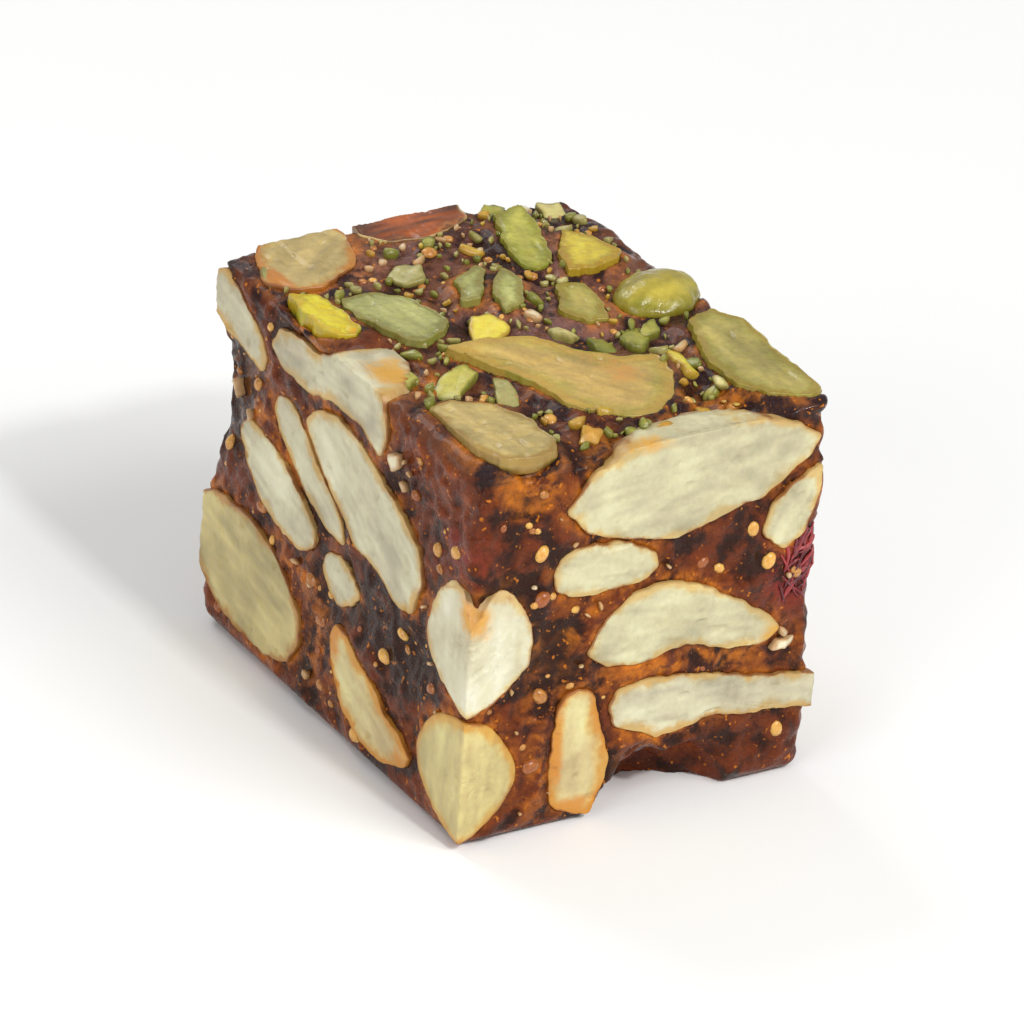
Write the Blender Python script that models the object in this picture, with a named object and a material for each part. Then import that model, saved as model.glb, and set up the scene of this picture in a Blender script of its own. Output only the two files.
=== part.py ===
"""Fig halwa: one cut block of dark fig paste, full of almonds, under a crust of pistachio slices.

Sizes are in millimetres until a mesh is made. The block is WIDTH along X, DEPTH along Y and
HEIGHT along Z, its front face looks along -Y, and it rests on Z = 0. Every cut face is a plane
in which pieces are placed by two distances from one of its corners.
"""

import math
import random
from typing import NamedTuple

import bmesh
import bpy
import numpy as np
from mathutils import Matrix, Vector
from mathutils.bvhtree import BVHTree

MM = 0.001
WIDTH = 27.2
DEPTH = 35.5
HEIGHT = 28.0

# The paste shrinks back a little from the knife cuts and is rough.
EDGE_RADIUS = 1.3
PASTE_SETBACK = 0.16
COARSE_RELIEF = 0.42
COARSE_CELL = 3.6
FINE_RELIEF = 0.20
FINE_CELL = 1.9
PASTE_CUTS = 13
PASTE_KEEP = 0.84

# Broken lower edge of the front face: an ellipsoid scooped out of the paste.
CHIP_CENTRE = (2.2, -DEPTH / 2 - 1.0, -1.2)
CHIP_RADII = (5.7, 5.6, 6.3)

GAP = 0.42
UNEVEN = 0.11
KERNEL_SIDES = 8
SEED_RADIUS = 0.74
SEED_COUNT = 42
CRUMB_COUNT = 6
DRAW_SEED = 2733


class Face(NamedTuple):
    """A cut face: one corner, the two directions along it and the direction out of it."""

    corner: tuple
    first: tuple
    second: tuple
    outward: tuple
    span: tuple


class Almond(NamedTuple):
    """An almond cut open in a face: place, size and slant of the cut, and its depth behind it."""

    name: str
    face: str
    across: float
    up: float
    length: float
    width: float
    depth: float
    tilt: float
    start: float = 0.55
    end: float = 0.55


class Slice(NamedTuple):
    """A pistachio slice lying on top, or a domed half where dome is not zero."""

    name: str
    across: float
    up: float
    length: float
    width: float
    tilt: float
    rise: float
    start: float = 0.55
    end: float = 0.55
    dome: float = 0.0


class Chip(NamedTuple):
    """A small fragment stuck to the paste."""

    face: str
    across: float
    up: float
    length: float
    width: float
    tilt: float


FACES = {
    "front": Face((-WIDTH / 2, -DEPTH / 2, 0), (1, 0, 0), (0, 0, 1), (0, -1, 0), (WIDTH, HEIGHT)),
    "left": Face((-WIDTH / 2, DEPTH / 2, 0), (0, -1, 0), (0, 0, 1), (-1, 0, 0), (DEPTH, HEIGHT)),
    "right": Face((WIDTH / 2, -DEPTH / 2, 0), (0, 1, 0), (0, 0, 1), (1, 0, 0), (DEPTH, HEIGHT)),
    "back": Face((WIDTH / 2, DEPTH / 2, 0), (-1, 0, 0), (0, 0, 1), (0, 1, 0), (WIDTH, HEIGHT)),
    "top": Face((-WIDTH / 2, -DEPTH / 2, HEIGHT), (1, 0, 0), (0, 1, 0), (0, 0, 1), (WIDTH, DEPTH)),
    "under": Face((-WIDTH / 2, DEPTH / 2, 0), (1, 0, 0), (0, -1, 0), (0, 0, -1), (WIDTH, DEPTH)),
}

ALMONDS = [
    Almond("almond_front_top", "front", 16.7, 24.6, 19.2, 7.2, 4.0, 7, 0.55, 0.72),
    Almond("almond_front_corner", "front", 25.4, 20.9, 6.4, 3.2, 2.4, 66, 0.45, 0.7),
    Almond("almond_front_short", "front", 10.1, 19.2, 8.0, 3.2, 2.6, -5, 0.38, 0.5),
    Almond("almond_front_middle", "front", 16.8, 14.0, 15.4, 4.9, 3.4, -8, 0.5, 0.62),
    Almond("almond_front_strip", "front", 20.3, 7.4, 17.8, 3.3, 3.0, -5, 0.3, 0.4),
    Almond("almond_front_upright", "front", 9.2, 5.5, 9.6, 3.9, 3.2, 97, 0.5, 0.4),
    Almond("almond_edge_upper", "front", 0.0, 14.75, 9.1, 9.6, 5.2, 90, 0.8, 0.36),
    Almond("almond_edge_lower", "front", 0.0, 5.15, 9.1, 7.4, 5.8, 90, 0.72, 0.46),
    Almond("almond_left_back_top", "left", 2.8, 24.6, 8.6, 3.6, 2.6, -14, 0.5, 0.5),
    Almond("almond_left_top", "left", 15.6, 25.7, 15.4, 3.9, 4.3, 5, 0.5, 0.42),
    Almond("almond_left_large", "left", 21.6, 18.9, 16.2, 5.6, 3.6, -28, 0.6, 0.45),
    Almond("almond_left_thin", "left", 13.6, 17.8, 12.6, 2.9, 2.8, -31, 0.5, 0.5),
    Almond("almond_left_strip", "left", 9.9, 15.0, 12.0, 3.9, 3.2, -17, 0.5, 0.5),
    Almond("almond_left_small", "left", 18.6, 11.4, 5.4, 2.6, 2.4, -10, 0.55, 0.5),
    Almond("almond_left_bottom", "left", 7.0, 6.1, 14.2, 8.0, 4.0, -10, 0.45, 0.6),
    Almond("almond_left_low_middle", "left", 23.2, 4.8, 11.6, 4.5, 3.4, -24, 0.5, 0.55),
    Almond("almond_top_corner", "top", 5.6, 31.9, 8.6, 6.4, 2.2, 38, 0.42, 0.45),
    Almond("almond_top_back", "top", 14.8, 34.3, 9.2, 3.6, 3.0, 2, 0.5, 0.55),
    Almond("almond_right_1", "right", 11.0, 23.0, 14.0, 4.8, 3.6, -9, 0.6, 0.5),
    Almond("almond_right_2", "right", 26.2, 22.6, 12.6, 4.4, 3.2, 12, 0.5, 0.6),
    Almond("almond_right_3", "right", 18.2, 17.0, 12.0, 3.8, 3.2, -20, 0.55, 0.5),
    Almond("almond_right_4", "right", 7.4, 15.0, 8.8, 3.4, 3.0, 24, 0.45, 0.6),
    Almond("almond_right_5", "right", 29.2, 14.9, 10.2, 3.8, 3.4, -14, 0.5, 0.5),
    Almond("almond_right_6", "right", 16.6, 9.9, 14.6, 4.8, 3.6, -5, 0.62, 0.5),
    Almond("almond_right_7", "right", 29.9, 7.4, 9.0, 4.2, 3.2, 30, 0.5, 0.6),
    Almond("almond_right_8", "right", 22.4, 3.5, 8.6, 3.0, 2.8, -4, 0.4, 0.5),
    Almond("almond_right_9", "right", 8.8, 4.1, 11.6, 4.2, 3.4, 8, 0.5, 0.6),
    Almond("almond_back_1", "back", 6.2, 21.2, 10.4, 4.0, 3.2, 18, 0.5, 0.6),
    Almond("almond_back_2", "back", 17.9, 19.3, 11.4, 4.4, 3.4, -12, 0.6, 0.5),
    Almond("almond_back_3", "back", 9.0, 14.4, 12.6, 4.4, 3.4, -8, 0.5, 0.55),
    Almond("almond_back_4", "back", 20.8, 13.4, 8.8, 3.6, 3.0, 22, 0.45, 0.6),
    Almond("almond_back_5", "back", 6.4, 8.0, 8.6, 3.8, 3.2, 28, 0.5, 0.5),
    Almond("almond_back_6", "back", 15.4, 7.9, 9.8, 4.0, 3.4, -16, 0.55, 0.5),
    Almond("almond_back_7", "back", 9.6, 2.9, 11.0, 3.0, 2.8, 3, 0.4, 0.5),
    Almond("almond_under_1", "under", 10.4, 10.4, 14.6, 5.8, 2.4, 24, 0.6, 0.5),
    Almond("almond_under_2", "under", 18.6, 20.2, 13.0, 5.0, 2.4, -38, 0.5, 0.6),
    Almond("almond_under_3", "under", 8.4, 24.0, 11.0, 4.6, 2.4, 62, 0.5, 0.55),
]

SLICES = [
    Slice("pistachio_large", 12.8, 10.9, 15.5, 9.7, 127, 0.75, 0.8, 0.42),
    Slice("pistachio_front_left", 4.0, 5.4, 9.9, 5.8, 96, 0.6, 0.4, 0.5),
    Slice("pistachio_right", 24.7, 7.4, 12.6, 5.4, 89, 0.7, 0.5, 0.6),
    Slice("pistachio_half", 24.2, 18.1, 6.6, 5.4, 16, 0.0, 0.5, 0.5, 1.6),
    Slice("pistachio_khaki", 18.5, 18.7, 5.3, 3.1, 79, 0.6, 0.45, 0.5),
    Slice("pistachio_mustard", 22.8, 24.6, 6.7, 4.2, 65, 0.9, 0.45, 0.7),
    Slice("pistachio_long", 19.7, 28.3, 9.0, 2.8, 72, 0.8, 0.4, 0.5),
    Slice("pistachio_middle_left", 12.9, 24.0, 5.8, 2.1, 53, 0.7, 0.5, 0.5),
    Slice("pistachio_middle_right", 14.7, 21.9, 6.0, 2.1, 61, 0.8, 0.5, 0.6),
    Slice("pistachio_pitted", 6.2, 22.1, 8.3, 5.1, 100, 0.55, 0.5, 0.45),
    Slice("pistachio_left_edge", 1.5, 23.7, 6.5, 2.5, 96, 0.9, 0.5, 0.6),
]

# Outlines of the nuts as (across, up) on their face, anticlockwise seen from outside.
OUTLINES = {
    "almond_front_top": [
        (6.9, 24.3), (8.6, 22.2), (12.4, 21.2), (15.2, 20.4), (19.0, 21.4), (22.0, 22.2),
        (25.3, 24.3), (26.5, 25.8), (24.0, 27.2), (18.5, 29.0), (12.8, 28.5), (9.2, 26.7),
    ],
    "almond_front_corner": [
        (22.4, 19.3), (24.2, 17.8), (25.6, 18.9), (26.4, 21.2), (26.6, 23.6), (24.8, 22.6),
        (23.0, 21.3),
    ],
    "almond_front_short": [
        (6.2, 19.8), (6.4, 18.4), (7.6, 17.7), (10.5, 17.6), (13.6, 17.9), (14.3, 18.5),
        (13.8, 19.5), (12.8, 20.2), (11.2, 20.8), (8.6, 21.1), (6.8, 20.7),
    ],
    "almond_front_middle": [
        (9.0, 13.0), (10.4, 11.9), (12.8, 11.5), (15.2, 12.0), (17.0, 12.2), (19.4, 11.3),
        (22.4, 10.8), (24.2, 11.6), (22.8, 13.2), (20.4, 14.6), (18.2, 16.0), (15.4, 17.0),
        (12.6, 16.8), (10.4, 15.2),
    ],
    "almond_front_strip": [
        (11.2, 8.6), (11.7, 6.9), (13.2, 6.3), (15.0, 5.4), (17.6, 5.8), (19.2, 6.2),
        (21.6, 5.7), (24.4, 5.5), (28.4, 5.0), (28.4, 7.0), (24.0, 7.9), (20.6, 8.7),
        (17.0, 9.5), (13.6, 9.9), (11.7, 9.7),
    ],
    "almond_front_upright": [
        (6.9, 4.0), (7.2, 2.0), (8.8, 0.9), (10.1, 0.6), (10.9, 2.6), (11.3, 4.6),
        (10.8, 6.4), (10.2, 8.3), (9.8, 9.8), (8.6, 10.3), (7.5, 9.7), (7.1, 7.2),
    ],
    "almond_left_back_top": [
        (-1.2, 24.6), (1.6, 23.2), (4.2, 22.8), (6.4, 22.3), (7.0, 23.4), (6.2, 24.6),
        (4.6, 25.6), (2.6, 26.7), (0.4, 27.0), (-1.2, 26.2),
    ],
    "almond_left_top": [
        (7.8, 24.9), (9.6, 23.9), (13.0, 23.9), (16.4, 24.7), (20.0, 24.6), (22.6, 23.6),
        (23.3, 25.4), (22.6, 27.6), (21.0, 29.6), (17.8, 29.9), (16.2, 28.2), (14.0, 26.9),
        (10.8, 26.9), (8.6, 26.4),
    ],
    "almond_left_large": [
        (12.8, 21.6), (14.4, 19.9), (16.4, 18.3), (18.6, 16.9), (20.2, 15.6), (23.4, 15.2),
        (25.8, 14.1), (27.6, 14.4), (28.9, 16.8), (28.3, 19.0), (26.0, 20.6), (23.2, 21.8),
        (20.6, 23.0), (17.2, 23.6), (14.2, 23.0),
    ],
    "almond_left_thin": [
        (8.3, 20.3), (9.4, 18.9), (11.6, 17.3), (13.6, 15.9), (16.0, 14.8), (18.3, 14.7),
        (17.8, 16.0), (16.0, 17.6), (14.0, 18.9), (12.4, 20.3), (10.6, 21.5), (8.9, 21.5),
    ],
    "almond_left_strip": [
        (4.4, 16.9), (5.4, 15.0), (7.6, 13.1), (10.0, 12.1), (13.2, 11.9), (14.9, 13.0),
        (14.7, 14.2), (13.2, 15.2), (11.0, 16.6), (8.6, 17.6), (5.6, 18.1),
    ],
    "almond_left_small": [
        (15.9, 11.9), (16.8, 10.6), (18.2, 10.0), (19.8, 10.8), (20.6, 12.0), (19.4, 13.1),
        (17.6, 13.5), (16.4, 13.0),
    ],
    "almond_left_bottom": [
        (-1.2, 5.6), (0.6, 3.6), (2.8, 2.3), (6.0, 1.8), (9.2, 1.7), (11.9, 2.7),
        (13.5, 4.8), (13.1, 6.8), (11.2, 8.6), (9.2, 9.9), (6.2, 10.6), (2.6, 10.6),
        (0.2, 9.9), (-1.2, 8.4),
    ],
    "almond_left_low_middle": [
        (17.7, 7.2), (18.2, 5.2), (19.6, 3.2), (22.0, 1.9), (25.0, 1.6), (27.9, 2.6),
        (28.8, 3.6), (27.2, 4.5), (25.0, 5.2), (23.4, 6.5), (21.2, 7.3), (19.6, 8.4),
        (18.2, 8.5),
    ],
    "almond_top_corner": [
        (1.0, 30.8), (2.2, 29.1), (4.2, 28.6), (5.9, 29.7), (7.6, 30.4), (8.6, 32.2),
        (9.2, 34.2), (9.0, 36.6), (4.0, 36.6), (2.2, 34.2),
    ],
    "almond_top_back": [
        (10.3, 34.2), (11.8, 32.7), (14.2, 32.2), (16.8, 32.7), (18.4, 33.8), (18.7, 36.6),
        (10.8, 36.6),
    ],
    "pistachio_large": [
        (7.7, 13.2), (9.0, 10.9), (9.9, 8.7), (10.3, 6.2), (11.5, 5.0), (12.5, 3.9),
        (13.8, 3.2), (15.4, 3.2), (17.6, 4.9), (19.2, 7.4), (19.5, 10.1), (16.9, 10.8),
        (14.4, 12.7), (12.8, 15.0), (9.6, 16.0), (6.5, 15.9),
    ],
    "pistachio_front_left": [
        (1.5, 6.5), (1.3, 2.8), (1.8, 0.9), (4.2, 0.4), (6.1, 0.7), (6.8, 2.2),
        (6.8, 6.2), (5.8, 8.6), (3.6, 10.3), (1.7, 9.9),
    ],
    "pistachio_right": [
        (22.0, 7.5), (22.2, 4.5), (23.6, 2.2), (26.1, 1.1), (27.3, 2.1), (27.1, 5.4),
        (27.1, 8.3), (27.3, 11.5), (25.9, 13.7), (23.6, 12.9),
    ],
    "pistachio_khaki": [
        (16.8, 18.2), (17.7, 16.2), (19.2, 16.1), (20.0, 18.4), (20.1, 20.8), (18.2, 21.5),
    ],
    "pistachio_mustard": [
        (20.8, 25.3), (19.7, 22.3), (21.5, 22.0), (23.9, 22.7), (24.7, 23.8), (24.2, 26.6),
        (22.7, 28.3),
    ],
    "pistachio_long": [
        (18.3, 28.5), (17.6, 25.0), (18.5, 23.9), (20.0, 25.0), (21.3, 28.8), (21.9, 32.3),
        (19.3, 31.7),
    ],
    "pistachio_middle_left": [
        (11.1, 21.7), (12.4, 21.5), (15.0, 25.5), (14.8, 26.2), (12.2, 24.7),
    ],
    "pistachio_middle_right": [
        (13.1, 19.4), (14.9, 20.1), (16.4, 23.0), (15.9, 24.7), (13.7, 22.3),
    ],
    "pistachio_pitted": [
        (3.5, 22.9), (4.4, 21.0), (4.8, 18.5), (5.9, 17.8), (7.9, 18.8), (9.1, 20.3),
        (8.3, 24.2), (6.6, 25.9), (3.9, 25.9),
    ],
    "pistachio_left_edge": [
        (0.2, 24.3), (0.4, 22.0), (1.0, 20.9), (2.0, 20.5), (2.9, 21.3), (2.8, 23.4),
        (2.4, 26.0), (0.6, 26.9),
    ],
}

# The hidden faces carry nuts of the same shapes, taken in turn and stretched to their sizes.
LENT_SHAPES = [
    "almond_front_top",
    "almond_left_large",
    "almond_front_middle",
    "almond_left_strip",
    "almond_front_upright",
    "almond_left_low_middle",
]

# Levels of an almond below its face and of a slice, as share of the outline and of the depth.
ALMOND_LEVELS = [(0.96, 0.6), (1.0, 0.0), (0.86, -0.5), (0.52, -0.88), (0.0, -1.0)]
SEAT_DEPTH = 0.62

CHIPS = [
    Chip("front", 24.7, 10.35, 2.6, 1.3, 20),
    Chip("left", 2.7, 19.0, 3.2, 1.7, 50),
    Chip("left", 24.7, 24.4, 2.4, 1.4, 60),
    Chip("top", 20.8, 9.2, 3.2, 1.2, 80),
    Chip("top", 11.2, 18.5, 3.2, 2.0, 20),
    Chip("top", 15.6, 16.0, 2.6, 2.0, 0),
    Chip("top", 20.0, 13.6, 3.6, 1.6, 62),
    Chip("top", 10.0, 27.2, 3.0, 2.0, 10),
    Chip("top", 5.4, 12.6, 2.8, 1.8, 30),
    Chip("top", 7.6, 9.8, 2.8, 1.6, 70),
    Chip("top", 17.2, 13.4, 2.6, 1.6, 110),
    Chip("top", 9.8, 2.8, 2.8, 1.8, 15),
    Chip("top", 25.0, 33.2, 3.4, 1.9, 80),
    Chip("top", 20.8, 34.4, 2.6, 1.5, 10),
    Chip("top", 1.4, 31.6, 3.4, 1.6, 70),
    Chip("top", 16.0, 28.9, 2.2, 1.4, 150),
    Chip("top", 3.0, 14.8, 2.4, 1.5, 40),
    Chip("top", 25.6, 30.4, 2.2, 1.4, 120),
]

# Golden seeds where they catch the light, as face, distance across and distance up.
SEEDS_SEEN = [
    ("front", 4.2, 26.4),
    ("front", 1.7, 24.6),
    ("front", 17.9, 17.9),
    ("front", 5.5, 13.2),
    ("front", 5.9, 10.3),
    ("front", 21.6, 19.7),
    ("front", 5.2, 5.4),
    ("left", 5.9, 20.9),
    ("left", 26.6, 12.0),
    ("left", 15.8, 7.6),
    ("left", 2.2, 14.6),
]


def smooth_noise(points, cell, seed):
    """Value noise in -1..1: random numbers on a cubic lattice, blended by 3t^2 - 2t^3."""
    table = np.random.default_rng(seed).uniform(-1.0, 1.0, (32, 32, 32))
    scaled = points / cell
    base = np.floor(scaled).astype(int)
    part = scaled - base
    blend = part * part * (3.0 - 2.0 * part)
    total = np.zeros(len(points))
    for corner in np.ndindex(2, 2, 2):
        weight = np.prod(np.where(corner, blend, 1.0 - blend), axis=1)
        at = (base + corner) % 32
        total += weight * table[at[:, 0], at[:, 1], at[:, 2]]
    return total


def bump(points, centre, radii):
    """A soft hill of height 1 at the centre that fades out over the radii."""
    away = (points - np.array(centre)) / np.array(radii)
    return np.exp(-np.sum(away * away, axis=1))


def paste_relief(points):
    """Height of the rough paste over the rounded box, kept flat where the block rests."""
    relief = COARSE_RELIEF * smooth_noise(points, COARSE_CELL, 11)
    relief += FINE_RELIEF * smooth_noise(points, FINE_CELL, 12)
    relief -= PASTE_SETBACK
    relief -= 0.9 * bump(points, (6.6, -DEPTH / 2 + 3.6, HEIGHT), (4.2, 2.6, 2.0))
    relief -= 0.5 * bump(points, (-5.4, -DEPTH / 2, HEIGHT), (6.0, 3.0, 2.6))
    relief -= 1.1 * bump(points, (-WIDTH / 2, DEPTH / 2, 18.0), (3.0, 4.0, 4.0))
    relief -= 0.6 * bump(points, (WIDTH / 2, DEPTH / 2, HEIGHT), (4.5, 5.0, 3.5))
    lift = np.clip(points[:, 2] / 1.6, 0.0, 1.0)
    return relief * lift


def scoop_chip(points):
    """Points inside the chip's ellipsoid move inward and up until they lie on it."""
    centre = np.array(CHIP_CENTRE)
    radii = np.array(CHIP_RADII) * (1.0 + 0.13 * smooth_noise(points, 2.6, 13)[:, None])
    way = np.array([0.0, 1.0, 1.0]) / math.sqrt(2.0)
    start = (points - centre) / radii
    step = way / radii
    inside = np.sum(start * start, axis=1) < 1.0
    a = np.sum(step * step, axis=1)
    b = np.sum(start * step, axis=1)
    c = np.sum(start * start, axis=1) - 1.0
    travel = (-b + np.sqrt(np.maximum(b * b - a * c, 0.0))) / a
    return np.where(inside[:, None], points + travel[:, None] * way, points)


def paste_surface(points):
    """Carries points of the sharp box to the rounded, rough and chipped surface of the paste."""
    half = np.array([WIDTH / 2, DEPTH / 2, HEIGHT / 2])
    middle = np.array([0.0, 0.0, HEIGHT / 2])
    core = np.clip(points - middle, EDGE_RADIUS - half, half - EDGE_RADIUS) + middle
    outward = points - core
    outward /= np.linalg.norm(outward, axis=1)[:, None]
    reach = EDGE_RADIUS + paste_relief(points)
    return scoop_chip(core + outward * reach[:, None])


def place_on(face, across, up, tilt):
    """Matrix that sets local X along the tilted length, Y across it and Z out of the face."""
    first = Vector(face.first)
    second = Vector(face.second)
    angle = math.radians(tilt)
    along = first * math.cos(angle) + second * math.sin(angle)
    side = second * math.cos(angle) - first * math.sin(angle)
    turn = Matrix((along, side, Vector(face.outward))).transposed().to_4x4()
    spot = Vector(face.corner) + first * across + second * up
    return Matrix.Translation(spot) @ turn


def nut_mesh(length, width, depth, start, end, sides, seed, rings=8):
    """A nut-shaped body along X: a sphere whose girth at t in -1..1 is (1 - t^2)^sharpness.

    The sharpness goes from start at one tip to end at the other: 0.3 is blunt, 0.8 pointed.
    The girth is uneven by up to UNEVEN, and the length bows a little to one side.
    """
    bm = bmesh.new()
    bmesh.ops.create_uvsphere(bm, u_segments=sides, v_segments=rings, radius=1.0)
    unit = np.array([v.co for v in bm.verts])
    wobble = smooth_noise(unit * 1.6 + 5.0, 1.0, seed)
    bow = 0.14 * math.sin(seed * 2.4)
    for vert, uneven in zip(bm.verts, wobble):
        t = max(-1.0, min(1.0, vert.co.z))
        girth = math.hypot(vert.co.x, vert.co.y)
        sharpness = start + (end - start) * (t + 1.0) / 2.0
        swell = max(1.0 - t * t, 0.0) ** sharpness * (1.0 + UNEVEN * uneven)
        if girth > 1e-6:
            vert.co.x *= swell / girth
            vert.co.y *= swell / girth
        sideways = vert.co.x + bow * (0.5 - t * t)
        vert.co = Vector((t * length / 2, sideways * width / 2, vert.co.y * depth))
    bmesh.ops.recalc_face_normals(bm, faces=bm.faces)
    return bm


def clip(bm, spot, outward):
    """Cuts off what lies beyond a plane and closes the cut."""
    everything = bm.verts[:] + bm.edges[:] + bm.faces[:]
    cut = bmesh.ops.bisect_plane(
        bm, geom=everything, dist=1e-5, plane_co=spot, plane_no=outward, clear_outer=True
    )
    rim = [item for item in cut["geom_cut"] if isinstance(item, bmesh.types.BMEdge)]
    rim = [edge for edge in rim if edge.is_boundary]
    if rim:
        bmesh.ops.holes_fill(bm, edges=rim)


def knife_planes(proud):
    """The block's six sides, each moved out by the amount that a nut stands proud there."""
    for name, face in FACES.items():
        outward = Vector(face.outward)
        step = -0.15 if name == "under" else proud
        yield Vector(face.corner) + outward * step, outward


def local_shape(name):
    """An outline in shares of its half length and half width, along its own slant."""
    piece = {almond.name: almond for almond in ALMONDS}[name]
    points = np.array(OUTLINES[name]) - (piece.across, piece.up)
    angle = math.radians(piece.tilt)
    along = points @ (math.cos(angle), math.sin(angle))
    side = points @ (-math.sin(angle), math.cos(angle))
    along -= (along.max() + along.min()) / 2
    side -= (side.max() + side.min()) / 2
    return np.stack([along / along.max(), side / side.max()], axis=1)


def outline_of(piece, seed):
    """The nut's own outline, or one lent by a nut that shows, stretched and turned."""
    if piece.name in OUTLINES:
        return np.array(OUTLINES[piece.name])
    shape = local_shape(LENT_SHAPES[seed % len(LENT_SHAPES)])
    if seed % 4 > 1:
        shape = shape[::-1] * (-1.0, 1.0)
    shape = shape * (piece.length / 2, piece.width / 2)
    angle = math.radians(piece.tilt)
    turn = np.array([[math.cos(angle), math.sin(angle)], [-math.sin(angle), math.cos(angle)]])
    return shape @ turn + (piece.across, piece.up)


def middle_of(outline):
    """Centre of the outline's area."""
    after = np.roll(outline, -1, axis=0)
    cross = outline[:, 0] * after[:, 1] - after[:, 0] * outline[:, 1]
    return ((outline + after) * cross[:, None]).sum(axis=0) / (3.0 * cross.sum())


def grown(outline, grow):
    """The outline with every edge moved out by the same distance."""
    edges = np.roll(outline, -1, axis=0) - outline
    normals = np.stack([edges[:, 1], -edges[:, 0]], axis=1)
    normals /= np.linalg.norm(normals, axis=1)[:, None]
    before = np.roll(normals, 1, axis=0)
    share = 1.0 + np.sum(normals * before, axis=1)
    return outline + grow * (normals + before) / np.maximum(share, 0.6)[:, None]


def lofted(outline, levels, face):
    """A closed body from one outline carried through levels of (share, height) off its face."""
    bm = bmesh.new()
    middle = middle_of(outline)
    rings = []
    for share, height in levels:
        flat = middle + (outline - middle) * share
        flat = flat[:1] if share == 0.0 else flat
        rings.append([bm.verts.new(face_point(face, u, v, height)) for u, v in flat])
    for one, two in zip(rings, rings[1:]):
        count = max(len(one), len(two))
        for i in range(count):
            j = (i + 1) % count
            if len(two) == 1:
                bm.faces.new((one[i], two[0], one[j]))
            else:
                bm.faces.new((one[i], two[i], two[j], one[j]))
    bm.faces.new(rings[0])
    if len(rings[-1]) > 1:
        bm.faces.new(list(reversed(rings[-1])))
    bmesh.ops.recalc_face_normals(bm, faces=bm.faces)
    return bm


def face_point(face, across, up, height):
    """A place at a height off a face."""
    spot = Vector(face.corner) + Vector(face.first) * across + Vector(face.second) * up
    return spot + Vector(face.outward) * height


def edge_body(almond, grow, seed):
    """An almond that the knife cut along an upright edge of the block: a whole nut shape."""
    bm = nut_mesh(
        almond.length + 2 * grow,
        almond.width + 2 * grow,
        almond.depth + grow,
        almond.start,
        almond.end,
        KERNEL_SIDES,
        seed,
    )
    bm.transform(place_on(FACES[almond.face], almond.across, almond.up, almond.tilt))
    return bm


def almond_body(almond, grow, proud, seed):
    """The almond's body in block coordinates, grown for its pocket or cut off at the faces."""
    if almond.name.startswith("almond_edge"):
        bm = edge_body(almond, grow, seed)
    else:
        depth = almond.depth + grow
        levels = [(share, h * depth if h < 0 else h) for share, h in ALMOND_LEVELS]
        if grow > 0.0:
            levels[0] = (1.0, 2.0)
        bm = lofted(grown(outline_of(almond, seed), grow), levels, FACES[almond.face])
    if grow == 0.0:
        for spot, outward in knife_planes(proud):
            clip(bm, spot, outward)
    return bm


def slice_body(piece, grow, seed):
    """A flat slice between two cuts, or a domed half; grown for its seat, it has no upper cut."""
    face = FACES["top"]
    if piece.dome:
        bm = nut_mesh(
            piece.length + 2 * grow,
            piece.width + 2 * grow,
            piece.dome + grow,
            piece.start,
            piece.end,
            KERNEL_SIDES,
            seed,
        )
        clip(bm, Vector((0, 0, -SEAT_DEPTH - grow)), Vector((0, 0, -1)))
        bm.transform(place_on(face, piece.across, piece.up, piece.tilt))
    else:
        top = 3.0 if grow > 0.0 else piece.rise + 0.4
        levels = [(0.95, top), (1.0, 0.0), (0.92, -SEAT_DEPTH - grow)]
        bm = lofted(grown(outline_of(piece, seed), grow), levels, face)
    if grow == 0.0:
        if not piece.dome:
            lean = Vector((0.03, 0.05 if seed % 2 else -0.04, 1.0)).normalized()
            clip(bm, face_point(face, piece.across, piece.up, piece.rise), lean)
        for name in ("front", "left", "right", "back"):
            outward = Vector(FACES[name].outward)
            clip(bm, Vector(FACES[name].corner) + outward * 0.1, outward)
    return bm


def new_object(name, bm, collection, material=None):
    """Turns a bmesh in millimetres into an object in metres."""
    bmesh.ops.triangulate(bm, faces=bm.faces)
    bmesh.ops.recalc_face_normals(bm, faces=bm.faces)
    bm.transform(Matrix.Scale(MM, 4))
    mesh = bpy.data.meshes.new(name)
    bm.to_mesh(mesh)
    bm.free()
    obj = bpy.data.objects.new(name, mesh)
    collection.objects.link(obj)
    if material:
        mesh.materials.append(material)
    return obj


def paste_block():
    """The paste before anything is pressed into it: a box divided finely and roughened."""
    bm = bmesh.new()
    bmesh.ops.create_cube(bm, size=1.0)
    bmesh.ops.subdivide_edges(bm, edges=bm.edges, cuts=PASTE_CUTS, use_grid_fill=True)
    bm.transform(Matrix.Translation((0, 0, HEIGHT / 2)) @ Matrix.Diagonal((WIDTH, DEPTH, HEIGHT, 1)))
    shaped = paste_surface(np.array([v.co for v in bm.verts], dtype=float))
    for vert, spot in zip(bm.verts, shaped):
        vert.co = Vector(spot)
    return bm


def in_outline(across, up, piece, margin):
    """Whether a place on a face lies within a nut's outline grown by the margin."""
    angle = math.radians(piece.tilt)
    du = across - piece.across
    dv = up - piece.up
    along = du * math.cos(angle) + dv * math.sin(angle)
    side = dv * math.cos(angle) - du * math.sin(angle)
    reach = (along / (piece.length / 2 + margin)) ** 2
    return reach + (side / (piece.width / 2 + margin)) ** 2 < 1.0


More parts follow.
